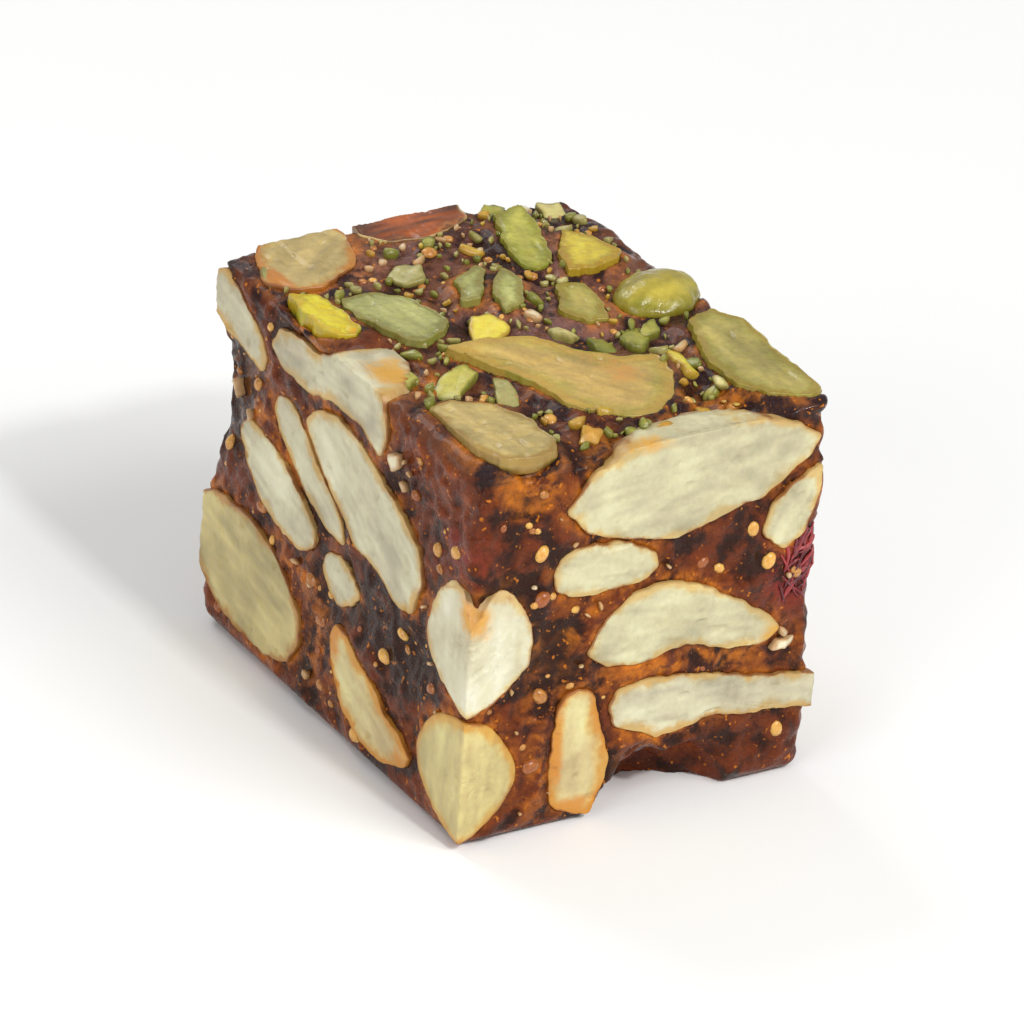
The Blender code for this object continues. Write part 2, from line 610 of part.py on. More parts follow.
def nuts_at(face_name):
    """Outlines of the nuts that show on a face, also of the two that wrap round its edge."""
    found = [almond for almond in ALMONDS if almond.face == face_name]
    if face_name == "top":
        found += SLICES
        found += [Slice("over_left", 1.0, 19.9, 15.4, 5.0, 90, 0.0)]
    if face_name == "left":
        for almond in ALMONDS:
            if almond.name.startswith("almond_edge"):
                found.append(almond._replace(face="left", across=DEPTH, width=2 * almond.depth))
    if face_name == "right":
        found += [Slice("strip_end", 0.0, 7.0, 8.0, 5.0, 0, 0.0)]
    if face_name == "back":
        found += [Slice("top_back", 13.0, HEIGHT, 11.0, 8.0, 0, 0.0)]
        found += [Slice("top_corner", 21.6, HEIGHT, 10.0, 6.0, 0, 0.0)]
        found += [Slice("left_top_end", WIDTH, 25.0, 6.0, 4.8, 0, 0.0)]
        found += [Slice("left_bottom_end", WIDTH, 7.0, 9.0, 8.5, 0, 0.0)]
    return found


def free_of_nuts(face_name, across, up, margin):
    """Whether a small topping at this place stays clear of every nut, the rim and the chip."""
    span = FACES[face_name].span
    edge = 1.7
    if not (edge < across < span[0] - edge and edge < up < span[1] - edge):
        return False
    if face_name == "front" and 9.0 < across < 23.0 and up < 6.6:
        return False
    return not any(in_outline(across, up, nut, margin) for nut in nuts_at(face_name))


def seed_places(draw):
    """The seeds seen in the light, then more at random places of bare paste."""
    places = list(SEEDS_SEEN)
    places = [spot for spot in places if free_of_nuts(*spot, SEED_RADIUS + GAP)]
    taken = [(chip.face, chip.across, chip.up) for chip in CHIPS]
    sides = ["front", "left", "right", "back", "top", "left", "right", "back"]
    for _ in range(6000):
        if len(places) >= SEED_COUNT:
            break
        name = sides[len(places) % len(sides)] if draw.random() < 0.7 else draw.choice(sides)
        span = FACES[name].span
        spot = (name, draw.uniform(0, span[0]), draw.uniform(0, span[1]))
        if not free_of_nuts(*spot, SEED_RADIUS + GAP):
            continue
        near = [p for p in places + taken if p[0] == name and math.dist(p[1:], spot[1:]) < 2.7]
        if not near:
            places.append(spot)
    return places


def surface_hit(tree, face, across, up):
    """Where a line straight into the face meets the paste, with the slope there."""
    outward = Vector(face.outward)
    spot = Vector(face.corner) + Vector(face.first) * across + Vector(face.second) * up
    hit, normal, _, _ = tree.ray_cast((spot + outward * 6.0) * MM, -outward)
    return hit / MM, normal


def rest_on(hit, normal, tilt):
    """Matrix that lays a small piece flat on the paste, turned by tilt about the slope."""
    lean = Vector((0, 0, 1)).rotation_difference(normal).to_matrix().to_4x4()
    return Matrix.Translation(hit) @ lean @ Matrix.Rotation(math.radians(tilt), 4, "Z")


def seed_bodies(tree, collection, draw):
    """Fig seeds, flat round grains half sunk in the paste."""
    for number, (face_name, across, up) in enumerate(seed_places(draw)):
        hit, normal = surface_hit(tree, FACES[face_name], across, up)
        bm = bmesh.new()
        bmesh.ops.create_icosphere(bm, subdivisions=1, radius=SEED_RADIUS)
        bm.transform(Matrix.Diagonal((1.0, 0.84, 0.72, 1.0)))
        bm.transform(rest_on(hit + normal * 0.08, normal, draw.uniform(0, 180)))
        new_object(f"seed_{number:02d}", bm, collection)


def chip_bodies(tree, collection, draw):
    """Small nut fragments, and crumbs of them at random places on top."""
    chips = list(CHIPS)
    for _ in range(3000):
        if len(chips) >= len(CHIPS) + CRUMB_COUNT:
            break
        across = draw.uniform(0, WIDTH)
        up = draw.uniform(0, DEPTH)
        near = [c for c in chips if c.face == "top" and math.dist((c.across, c.up), (across, up)) < 2.9]
        if free_of_nuts("top", across, up, 1.35) and not near:
            size = draw.uniform(1.3, 2.0)
            chips.append(Chip("top", across, up, size, 0.65 * size, draw.uniform(0, 180)))
    for number, chip in enumerate(chips):
        hit, normal = surface_hit(tree, FACES[chip.face], chip.across, chip.up)
        thick = 0.34 * chip.width + 0.2
        bm = nut_mesh(chip.length, chip.width, thick, 0.4, 0.45, 6, 40 + number, rings=4)
        bm.transform(rest_on(hit + normal * 0.1, normal, chip.tilt))
        new_object(f"chip_{number:02d}", bm, collection)


def apply_boolean(obj, operation, collection, solver="EXACT"):
    """Applies one Boolean with all objects of a collection, then removes them."""
    modifier = obj.modifiers.new(operation.lower(), "BOOLEAN")
    modifier.operation = operation
    modifier.operand_type = "COLLECTION"
    modifier.collection = collection
    modifier.solver = solver
    graph = bpy.context.evaluated_depsgraph_get()
    mesh = bpy.data.meshes.new_from_object(obj.evaluated_get(graph))
    obj.modifiers.clear()
    old = obj.data
    obj.data = mesh
    bpy.data.meshes.remove(old)
    mesh.name = obj.name
    for helper in list(collection.objects):
        bpy.data.objects.remove(helper)


def thin_out(obj, keep):
    """Merges the splinters that the cuts leave, keeping this share of the triangles."""
    modifier = obj.modifiers.new("thin_out", "DECIMATE")
    modifier.ratio = keep
    graph = bpy.context.evaluated_depsgraph_get()
    mesh = bpy.data.meshes.new_from_object(obj.evaluated_get(graph))
    obj.modifiers.clear()
    old = obj.data
    obj.data = mesh
    bpy.data.meshes.remove(old)
    mesh.name = obj.name


def keep_largest_body(obj):
    """Drops scraps of paste that lost their hold between two pockets."""
    bm = bmesh.new()
    bm.from_mesh(obj.data)
    bm.verts.ensure_lookup_table()
    group = {}
    for vert in bm.verts:
        if vert in group:
            continue
        group[vert] = len(group)
        waiting = [vert]
        while waiting:
            for edge in waiting.pop().link_edges:
                for other in edge.verts:
                    if other not in group:
                        group[other] = group[vert]
                        waiting.append(other)
    sizes = {}
    for label in group.values():
        sizes[label] = sizes.get(label, 0) + 1
    main = max(sizes, key=sizes.get)
    scraps = [vert for vert in bm.verts if group[vert] != main]
    bmesh.ops.delete(bm, geom=scraps, context="VERTS")
    bmesh.ops.triangulate(bm, faces=bm.faces)
    bm.to_mesh(obj.data)
    bm.free()


def new_material(name, colour, roughness):
    """A plain finish with the piece's colour and roughness."""
    material = bpy.data.materials.new(name)
    material.use_nodes = True
    shader = material.node_tree.nodes["Principled BSDF"]
    shader.inputs["Base Color"].default_value = (*colour, 1.0)
    shader.inputs["Roughness"].default_value = roughness
    shader.inputs["Metallic"].default_value = 0.0
    material.diffuse_color = (*colour, 1.0)
    return material


def clear_scene():
    """Removes whatever the scene holds."""
    for obj in list(bpy.data.objects):
        bpy.data.objects.remove(obj)


def new_collection(name):
    """A collection in the scene."""
    collection = bpy.data.collections.new(name)
    bpy.context.scene.collection.children.link(collection)
    return collection


def stand_on_origin(objects):
    """Moves the block so that the origin is below the middle of its box, at its lowest point."""
    corners = np.array([obj.matrix_world @ v.co for obj in objects for v in obj.data.vertices])
    low = corners.min(axis=0)
    high = corners.max(axis=0)
    shift = Matrix.Translation((-(low[0] + high[0]) / 2, -(low[1] + high[1]) / 2, -low[2]))
    for obj in objects:
        obj.data.transform(shift)


def build():
    """Builds the block: paste with pockets and fused small toppings, almonds and pistachios."""
    clear_scene()
    draw = random.Random(DRAW_SEED)
    block = new_collection("fig_halwa")
    helpers = new_collection("helpers")
    paste_finish = new_material("fig_paste", (0.105, 0.032, 0.012), 0.35)
    almond_finish = new_material("almond", (0.64, 0.55, 0.36), 0.55)
    pistachio_finish = new_material("pistachio", (0.42, 0.34, 0.10), 0.45)

    paste = new_object("fig_paste", paste_block(), block, paste_finish)
    tree = BVHTree.FromObject(paste, bpy.context.evaluated_depsgraph_get())
    seed_bodies(tree, helpers, draw)
    chip_bodies(tree, helpers, draw)
    apply_boolean(paste, "UNION", helpers, "MANIFOLD")
    for number, almond in enumerate(ALMONDS):
        new_object("pocket_" + almond.name, almond_body(almond, GAP, 0.0, 100 + number), helpers)
    for number, piece in enumerate(SLICES):
        new_object("seat_" + piece.name, slice_body(piece, GAP, 200 + number), helpers)
    apply_boolean(paste, "DIFFERENCE", helpers, "MANIFOLD")
    thin_out(paste, PASTE_KEEP)
    keep_largest_body(paste)

    for number, almond in enumerate(ALMONDS):
        proud = draw.uniform(-0.08, 0.22)
        new_object(almond.name, almond_body(almond, 0.0, proud, 100 + number), block, almond_finish)
    for number, piece in enumerate(SLICES):
        new_object(piece.name, slice_body(piece, 0.0, 200 + number), block, pistachio_finish)
    bpy.data.collections.remove(helpers)
    stand_on_origin(list(block.objects))


build()
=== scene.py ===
"""Fig halwa: one cut block of fig paste with almonds in its sides and pistachio slices on top.

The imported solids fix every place. Here each of them is dressed: the paste becomes a rough sticky
skin with golden seeds, and every nut a finely worked body, cut by the same knife planes.
Lengths are in millimetres until a mesh is made, and angles are in degrees.
"""

import logging
import math
import random
from dataclasses import dataclass, field
from enum import Enum
from typing import Any, Sequence

import bpy
import numpy as np
from mathutils import Matrix, Vector

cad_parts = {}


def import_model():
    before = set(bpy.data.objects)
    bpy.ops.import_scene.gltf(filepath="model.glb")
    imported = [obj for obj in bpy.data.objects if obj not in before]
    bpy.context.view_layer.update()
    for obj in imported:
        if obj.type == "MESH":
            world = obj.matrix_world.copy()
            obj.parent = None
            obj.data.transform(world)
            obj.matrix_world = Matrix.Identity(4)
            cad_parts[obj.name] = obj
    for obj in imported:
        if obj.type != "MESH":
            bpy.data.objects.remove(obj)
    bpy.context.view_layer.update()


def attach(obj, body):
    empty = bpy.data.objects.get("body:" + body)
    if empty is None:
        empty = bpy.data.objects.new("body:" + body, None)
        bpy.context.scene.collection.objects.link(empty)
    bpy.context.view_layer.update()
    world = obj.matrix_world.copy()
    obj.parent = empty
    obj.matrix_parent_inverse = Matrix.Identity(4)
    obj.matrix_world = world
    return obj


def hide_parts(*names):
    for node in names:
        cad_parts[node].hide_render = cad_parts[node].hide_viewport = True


LOG = logging.getLogger("fig_halwa")

MM = 0.001
WIDTH = 27.2
DEPTH = 35.5
HEIGHT = 28.0
SHIFT = np.array([-0.006, 0.080, 0.0])

EDGE_RADIUS = 1.3
PASTE_SETBACK = 0.16
COARSE_RELIEF = 0.42
COARSE_CELL = 3.6
FINE_RELIEF = 0.20
FINE_CELL = 1.9
CHIP_CENTRE = np.array([2.2, -DEPTH / 2 - 1.0, -1.2])
CHIP_RADII = np.array([5.7, 5.6, 6.3])
UNEVEN = 0.11
GAP = 0.42
SEED_RADIUS = 0.74
SEED_COUNT = 42
CRUMB_COUNT = 6
DRAW_SEED = 2733
SMALL_SEED_COUNT = 170
FINE_CRUMBS = {"top": 230, "front": 14, "left": 14, "right": 14, "back": 12}
SMALL_CRUMB = 2.4
CRUMB_SIDES = 14
UNDER_SETBACK = 0.15
SLICE_FOOT = 0.62


def srgb(red: float, green: float, blue: float) -> tuple[float, float, float, float]:
    """A colour as seen on a screen, 0 to 255, made linear for the shaders."""
    parts = []
    for part in (red, green, blue):
        part /= 255.0
        parts.append(part / 12.92 if part <= 0.04045 else ((part + 0.055) / 1.055) ** 2.4)
    return (parts[0], parts[1], parts[2], 1.0)


def smoothstep(low: float, high: float, value: np.ndarray) -> np.ndarray:
    """Rises from 0 at low to 1 at high as 3t^2 - 2t^3."""
    part = np.clip((value - low) / (high - low), 0.0, 1.0)
    return part * part * (3.0 - 2.0 * part)


def value_noise(points: np.ndarray, cell: float, seed: int) -> np.ndarray:
    """Random numbers in -1..1 on a cubic lattice, blended between its corners by 3t^2 - 2t^3.

    Args:
        points: places, one row each.
        cell: the lattice's spacing.
        seed: which table of random numbers.

    Returns:
        One number for each point.
    """
    table = np.random.default_rng(seed).uniform(-1.0, 1.0, (32, 32, 32))
    scaled = points / cell
    base = np.floor(scaled).astype(int)
    part = scaled - base
    blend = part * part * (3.0 - 2.0 * part)
    total = np.zeros(len(points))
    for corner in np.ndindex(2, 2, 2):
        weight = np.prod(np.where(corner, blend, 1.0 - blend), axis=1)
        at = (base + corner) % 32
        total += weight * table[at[:, 0], at[:, 1], at[:, 2]]
    return total


def noises(points: np.ndarray, *layers: tuple[float, float, int]) -> np.ndarray:
    """Value noise summed over layers, each given by its height, its cell and its seed."""
    total = np.zeros(len(points))
    for height, cell, seed in layers:
        total += height * value_noise(points, cell, seed)
    return total


class Finish(Enum):
    """The looks that nuts and fragments come in."""

    WHITE = "white"
    CREAM = "cream"
    GREY_CREAM = "grey_cream"
    STAINED = "stained"
    YELLOWED = "yellowed"
    KHAKI_NUT = "khaki_nut"
    TAN = "tan"
    SKIN = "skin"
    LARGE = "large"
    BEIGE = "beige"
    OLIVE = "olive"
    GLOSSY = "glossy"
    KHAKI = "khaki"
    MUSTARD = "mustard"
    LEAF = "leaf"
    GREY_GREEN = "grey_green"
    BRIGHT = "bright"


@dataclass(frozen=True)
class Face:
    """A cut face: one corner, two directions along it, the one out of it, and its two spans."""

    corner: tuple[float, float, float]
    first: tuple[float, float, float]
    second: tuple[float, float, float]
    outward: tuple[float, float, float]
    span: tuple[float, float]

    def at(self, across: np.ndarray | float, up: np.ndarray | float) -> np.ndarray:
        """Places on the face in block coordinates, one row each."""
        across = np.atleast_1d(across)[:, None]
        up = np.atleast_1d(up)[:, None]
        return np.array(self.corner) + across * np.array(self.first) + up * np.array(self.second)


FACES: dict[str, Face] = {
    "front": Face((-WIDTH / 2, -DEPTH / 2, 0), (1, 0, 0), (0, 0, 1), (0, -1, 0), (WIDTH, HEIGHT)),
    "left": Face((-WIDTH / 2, DEPTH / 2, 0), (0, -1, 0), (0, 0, 1), (-1, 0, 0), (DEPTH, HEIGHT)),
    "right": Face((WIDTH / 2, -DEPTH / 2, 0), (0, 1, 0), (0, 0, 1), (1, 0, 0), (DEPTH, HEIGHT)),
    "back": Face((WIDTH / 2, DEPTH / 2, 0), (-1, 0, 0), (0, 0, 1), (0, 1, 0), (WIDTH, HEIGHT)),
    "top": Face((-WIDTH / 2, -DEPTH / 2, HEIGHT), (1, 0, 0), (0, 1, 0), (0, 0, 1), (WIDTH, DEPTH)),
    "under": Face((-WIDTH / 2, DEPTH / 2, 0), (1, 0, 0), (0, -1, 0), (0, 0, -1), (WIDTH, DEPTH)),
}


@dataclass
class Shell:
    """The arrays of one closed surface: points, quads, triangles and numbers on its points."""

    points: np.ndarray
    quads: np.ndarray
    triangles: np.ndarray
    layers: dict[str, np.ndarray]


def joined(shells: list[Shell]) -> Shell:
    """Many surfaces as one."""
    starts = np.cumsum([0] + [len(shell.points) for shell in shells])
    return Shell(
        np.concatenate([shell.points for shell in shells]),
        np.concatenate([shell.quads + start for shell, start in zip(shells, starts)]),
        np.concatenate([shell.triangles + start for shell, start in zip(shells, starts)]),
        {key: np.concatenate([shell.layers[key] for shell in shells]) for key in shells[0].layers},
    )


@dataclass
class Mesher:
    """Turns arrays into a mesh object at the origin, in metres."""

    name: str

    def make(
        self,
        points: np.ndarray,
        quads: np.ndarray,
        triangles: np.ndarray | None = None,
        layers: dict[str, np.ndarray] | None = None,
    ) -> bpy.types.Object:
        """Writes the arrays into a mesh whose faces point outwards.

        Args:
            points: places in block coordinates and millimetres.
            quads: four corner numbers a row.
            triangles: three corner numbers a row, or None.
            layers: numbers kept for each point, by name, for the finishes.

        Returns:
            The new object, linked to the scene.
        """
        triangles = np.zeros((0, 3), int) if triangles is None else triangles
        placed = (points + SHIFT) * MM
        halves = np.concatenate([quads[:, [0, 1, 2]], quads[:, [0, 2, 3]], triangles])
        a, b, c = (placed[halves[:, i]] for i in range(3))
        if np.einsum("ij,ij->i", a, np.cross(b, c)).sum() < 0:
            quads = quads[:, ::-1]
            triangles = triangles[:, ::-1]
        corners = np.concatenate([quads.ravel(), triangles.ravel()]).astype(np.int32)
        sizes = np.concatenate([np.full(len(quads), 4), np.full(len(triangles), 3)])
        starts = np.concatenate([[0], np.cumsum(sizes)[:-1]]).astype(np.int32)
        mesh = bpy.data.meshes.new(self.name)
        mesh.vertices.add(len(placed))
        mesh.vertices.foreach_set("co", placed.astype(np.float32).ravel())
        mesh.loops.add(len(corners))
        mesh.loops.foreach_set("vertex_index", corners)
        mesh.polygons.add(len(sizes))
        mesh.polygons.foreach_set("loop_start", starts)
        mesh.polygons.foreach_set("use_smooth", np.ones(len(sizes), bool))
        mesh.update(calc_edges=True)
        for key, numbers in (layers or {}).items():
            layer = mesh.attributes.new(key, "FLOAT", "POINT")
            layer.data.foreach_set("value", np.asarray(numbers, np.float32))
        obj = bpy.data.objects.new(self.name, mesh)
        bpy.context.scene.collection.objects.link(obj)
        return obj


def capped(rings: int, sides: int) -> tuple[np.ndarray, np.ndarray]:
    """Faces over a first pole, rings of points in order, and a last pole.

    Args:
        rings: how many rings.
        sides: points a ring.

    Returns:
        The quads between the rings, and the triangles round both poles.
    """
    index = 1 + np.arange(rings * sides).reshape(rings, sides)
    after = np.roll(index, -1, axis=1)
    quads = np.stack([index[:-1], after[:-1], after[1:], index[1:]], axis=-1).reshape(-1, 4)
    start = np.stack([np.zeros(sides, int), after[0], index[0]], axis=-1)
    end = np.stack([np.full(sides, index.size + 1), index[-1], after[-1]], axis=-1)
    return quads, np.concatenate([start, end])


def ball_grid(rings: int, sides: int) -> tuple[np.ndarray, np.ndarray, np.ndarray, np.ndarray]:
    """A closed grid of rings between two poles.

    Args:
        rings: rings between the poles.
        sides: points a ring.

    Returns:
        The height t in -1..1 of each point, its angle, the quads and the pole triangles.
    """
    theta = np.pi * (np.arange(rings) + 1) / (rings + 1)
    angle = 2 * np.pi * np.arange(sides) / sides
    t = np.concatenate([[-1.0], np.repeat(-np.cos(theta), sides), [1.0]])
    phi = np.concatenate([[0.0], np.tile(angle, rings), [0.0]])
    return (t, phi, *capped(rings, sides))


def box_grid(counts: tuple[int, int, int]) -> tuple[np.ndarray, np.ndarray]:
    """The surface of a unit box divided into cells, each point once.

    Args:
        counts: cells along X, Y and Z.

    Returns:
        The points, each part in 0..1, and the quads.
    """
    sheets = []
    for axis in range(3):
        one, two = (i for i in range(3) if i != axis)
        u, v = np.meshgrid(np.arange(counts[one]), np.arange(counts[two]), indexing="ij")
        for side in (0, counts[axis]):
            corners = []
            for du, dv in ((0, 0), (1, 0), (1, 1), (0, 1)):
                place = np.zeros(u.shape + (3,), int)
                place[..., one] = u + du
                place[..., two] = v + dv
                place[..., axis] = side
                corners.append(place.reshape(-1, 3))
            if (side == 0) == (axis != 1):
                corners.reverse()
            sheets.append(np.stack(corners, axis=1))
    cells = np.concatenate(sheets)
    keys, quads = np.unique(cells.reshape(-1, 3), axis=0, return_inverse=True)
    return keys / np.array(counts), quads.reshape(-1, 4)


OUTLINES: dict[str, list[tuple[float, float]]] = {
    "almond_front_top": [
        (6.9, 24.3), (8.6, 22.2), (12.4, 21.2), (15.2, 20.4), (19.0, 21.4), (22.0, 22.2),
        (25.3, 24.3), (26.5, 25.8), (24.0, 27.2), (18.5, 29.0), (12.8, 28.5), (9.2, 26.7),
    ],
    "almond_front_corner": [
        (22.4, 19.3), (24.2, 17.8), (25.6, 18.9), (26.4, 21.2), (26.6, 23.6), (24.8, 22.6),
        (23.0, 21.3),
    ],
    "almond_front_short": [
        (6.2, 19.8), (6.4, 18.4), (7.6, 17.7), (10.5, 17.6), (13.6, 17.9), (14.3, 18.5),
        (13.8, 19.5), (12.8, 20.2), (11.2, 20.8), (8.6, 21.1), (6.8, 20.7),
    ],
    "almond_front_middle": [
        (9.0, 13.0), (10.4, 11.9), (12.8, 11.5), (15.2, 12.0), (17.0, 12.2), (19.4, 11.3),
        (22.4, 10.8), (24.2, 11.6), (22.8, 13.2), (20.4, 14.6), (18.2, 16.0), (15.4, 17.0),
        (12.6, 16.8), (10.4, 15.2),
    ],
    "almond_front_strip": [
        (11.2, 8.6), (11.7, 6.9), (13.2, 6.3), (15.0, 5.4), (17.6, 5.8), (19.2, 6.2),
        (21.6, 5.7), (24.4, 5.5), (28.4, 5.0), (28.4, 7.0), (24.0, 7.9), (20.6, 8.7),
        (17.0, 9.5), (13.6, 9.9), (11.7, 9.7),
    ],
    "almond_front_upright": [
        (6.9, 4.0), (7.2, 2.0), (8.8, 0.9), (10.1, 0.6), (10.9, 2.6), (11.3, 4.6),
        (10.8, 6.4), (10.2, 8.3), (9.8, 9.8), (8.6, 10.3), (7.5, 9.7), (7.1, 7.2),
    ],
    "almond_left_back_top": [
        (-1.2, 24.6), (1.6, 23.2), (4.2, 22.8), (6.4, 22.3), (7.0, 23.4), (6.2, 24.6),
        (4.6, 25.6), (2.6, 26.7), (0.4, 27.0), (-1.2, 26.2),
    ],
    "almond_left_top": [
        (7.8, 24.9), (9.6, 23.9), (13.0, 23.9), (16.4, 24.7), (20.0, 24.6), (22.6, 23.6),
        (23.3, 25.4), (22.6, 27.6), (21.0, 29.6), (17.8, 29.9), (16.2, 28.2), (14.0, 26.9),
        (10.8, 26.9), (8.6, 26.4),
    ],
    "almond_left_large": [
        (12.8, 21.6), (14.4, 19.9), (16.4, 18.3), (18.6, 16.9), (20.2, 15.6), (23.4, 15.2),
        (25.8, 14.1), (27.6, 14.4), (28.9, 16.8), (28.3, 19.0), (26.0, 20.6), (23.2, 21.8),
        (20.6, 23.0), (17.2, 23.6), (14.2, 23.0),
    ],
    "almond_left_thin": [
        (8.3, 20.3), (9.4, 18.9), (11.6, 17.3), (13.6, 15.9), (16.0, 14.8), (18.3, 14.7),
        (17.8, 16.0), (16.0, 17.6), (14.0, 18.9), (12.4, 20.3), (10.6, 21.5), (8.9, 21.5),
    ],
    "almond_left_strip": [
        (4.4, 16.9), (5.4, 15.0), (7.6, 13.1), (10.0, 12.1), (13.2, 11.9), (14.9, 13.0),
        (14.7, 14.2), (13.2, 15.2), (11.0, 16.6), (8.6, 17.6), (5.6, 18.1),
    ],
    "almond_left_small": [
        (15.9, 11.9), (16.8, 10.6), (18.2, 10.0), (19.8, 10.8), (20.6, 12.0), (19.4, 13.1),
        (17.6, 13.5), (16.4, 13.0),
    ],
    "almond_left_bottom": [
        (-1.2, 5.6), (0.6, 3.6), (2.8, 2.3), (6.0, 1.8), (9.2, 1.7), (11.9, 2.7),
        (13.5, 4.8), (13.1, 6.8), (11.2, 8.6), (9.2, 9.9), (6.2, 10.6), (2.6, 10.6),
        (0.2, 9.9), (-1.2, 8.4),
    ],
    "almond_left_low_middle": [
        (17.7, 7.2), (18.2, 5.2), (19.6, 3.2), (22.0, 1.9), (25.0, 1.6), (27.9, 2.6),
        (28.8, 3.6), (27.2, 4.5), (25.0, 5.2), (23.4, 6.5), (21.2, 7.3), (19.6, 8.4),
        (18.2, 8.5),
    ],
    "almond_top_corner": [
        (1.0, 30.8), (2.2, 29.1), (4.2, 28.6), (5.9, 29.7), (7.6, 30.4), (8.6, 32.2),
        (9.2, 34.2), (9.0, 36.6), (4.0, 36.6), (2.2, 34.2),
    ],
    "almond_top_back": [
        (10.3, 34.2), (11.8, 32.7), (14.2, 32.2), (16.8, 32.7), (18.4, 33.8), (18.7, 36.6),
        (10.8, 36.6),
    ],
    "pistachio_large": [
        (7.7, 13.2), (9.0, 10.9), (9.9, 8.7), (10.3, 6.2), (11.5, 5.0), (12.5, 3.9),
        (13.8, 3.2), (15.4, 3.2), (17.6, 4.9), (19.2, 7.4), (19.5, 10.1), (16.9, 10.8),
        (14.4, 12.7), (12.8, 15.0), (9.6, 16.0), (6.5, 15.9),
    ],
    "pistachio_front_left": [
        (1.5, 6.5), (1.3, 2.8), (1.8, 0.9), (4.2, 0.4), (6.1, 0.7), (6.8, 2.2),
        (6.8, 6.2), (5.8, 8.6), (3.6, 10.3), (1.7, 9.9),
    ],
    "pistachio_right": [
        (22.0, 7.5), (22.2, 4.5), (23.6, 2.2), (26.1, 1.1), (27.3, 2.1), (27.1, 5.4),
        (27.1, 8.3), (27.3, 11.5), (25.9, 13.7), (23.6, 12.9),
    ],
    "pistachio_khaki": [
        (16.8, 18.2), (17.7, 16.2), (19.2, 16.1), (20.0, 18.4), (20.1, 20.8), (18.2, 21.5),
    ],
    "pistachio_mustard": [
        (20.8, 25.3), (19.7, 22.3), (21.5, 22.0), (23.9, 22.7), (24.7, 23.8), (24.2, 26.6),
        (22.7, 28.3),
    ],
    "pistachio_long": [
        (18.3, 28.5), (17.6, 25.0), (18.5, 23.9), (20.0, 25.0), (21.3, 28.8), (21.9, 32.3),
        (19.3, 31.7),
    ],
    "pistachio_middle_left": [
        (11.1, 21.7), (12.4, 21.5), (15.0, 25.5), (14.8, 26.2), (12.2, 24.7),
    ],
    "pistachio_middle_right": [
        (13.1, 19.4), (14.9, 20.1), (16.4, 23.0), (15.9, 24.7), (13.7, 22.3),
    ],
    "pistachio_pitted": [
        (3.5, 22.9), (4.4, 21.0), (4.8, 18.5), (5.9, 17.8), (7.9, 18.8), (9.1, 20.3),
        (8.3, 24.2), (6.6, 25.9), (3.9, 25.9),
    ],
    "pistachio_left_edge": [
        (0.2, 24.3), (0.4, 22.0), (1.0, 20.9), (2.0, 20.5), (2.9, 21.3), (2.8, 23.4),
        (2.4, 26.0), (0.6, 26.9),
    ],
}

LENT_SHAPES: list[str] = [
    "almond_front_top",
    "almond_left_large",
    "almond_front_middle",
    "almond_left_strip",
    "almond_front_upright",
    "almond_left_low_middle",
]


def spaced(curve: np.ndarray, count: int) -> np.ndarray:
    """Points at equal steps along a closed curve.

    Args:
        curve: the curve's points, one row each.
        count: how many points to return.

    Returns:
        The new points.
    """
    closed = np.concatenate([curve, curve[:1]])
    travel = np.concatenate([[0.0], np.cumsum(np.linalg.norm(np.diff(closed, axis=0), axis=1))])
    at = np.arange(count) / count * travel[-1]
    return np.stack([np.interp(at, travel, closed[:, i]) for i in range(2)], axis=1)


class Rim:
    """A nut's outline on its face: its corners rounded off, and its edge a little chewed."""

    def __init__(self, corners: np.ndarray, seed: int, chewed: float, soft: float, wider: float) -> None:
        """Works the curve out.

        The polygon is walked in equal steps and averaged over a bell-shaped window, then moved
        along its normal by noise.

        Args:
            corners: the outline's corners as across and up.
            seed: which noise.
            chewed: how uneven the edge is, 1 for a common almond.
            soft: how far the corners are rounded off.
            wider: how far the whole outline moves out.
        """
        dense = spaced(corners, 900)
        step = np.linalg.norm(dense[1] - dense[0])
        reach = np.arange(-60, 61)
        weight = np.exp(-0.5 * (reach * step / soft) ** 2)
        rounded = sum(w * np.roll(dense, k, axis=0) for w, k in zip(weight / weight.sum(), reach))
        along = np.roll(rounded, -1, axis=0) - np.roll(rounded, 1, axis=0)
        along /= np.linalg.norm(along, axis=1)[:, None]
        normal = np.stack([along[:, 1], -along[:, 0]], axis=1)
        place = np.column_stack([rounded, np.full(len(rounded), 3.0)])
        uneven = noises(place, (0.13, 1.3, seed + 400), (0.09, 0.6, seed + 401), (0.04, 0.3, seed + 402))
        self.curve = spaced(rounded + normal * (uneven * chewed + wider)[:, None], 320)
        after = np.roll(self.curve, -1, axis=0)
        cross = self.curve[:, 0] * after[:, 1] - after[:, 0] * self.curve[:, 1]
        self.middle = ((self.curve + after) * cross[:, None]).sum(axis=0) / (3.0 * cross.sum())
        away = self.curve - self.middle
        angle = np.arctan2(away[:, 1], away[:, 0])
        order = np.argsort(angle)
        self.angles = angle[order]
        self.radii = np.linalg.norm(away, axis=1)[order]

    def gap(self, flat: np.ndarray) -> np.ndarray:
        """Distance from the curve on the face, below 0 inside it."""
        away = flat - self.middle
        angle = np.arctan2(away[:, 1], away[:, 0])
        inside = np.linalg.norm(away, axis=1) < np.interp(angle, self.angles, self.radii, period=2 * np.pi)
        nearest = np.full(len(flat), 1e9)
        for part in np.array_split(self.curve, 8):
            spread = flat[:, None, :] - part[None, :, :]
            nearest = np.minimum(nearest, np.min(np.sum(spread * spread, axis=2), axis=1))
        return np.where(inside, -1.0, 1.0) * np.sqrt(nearest)


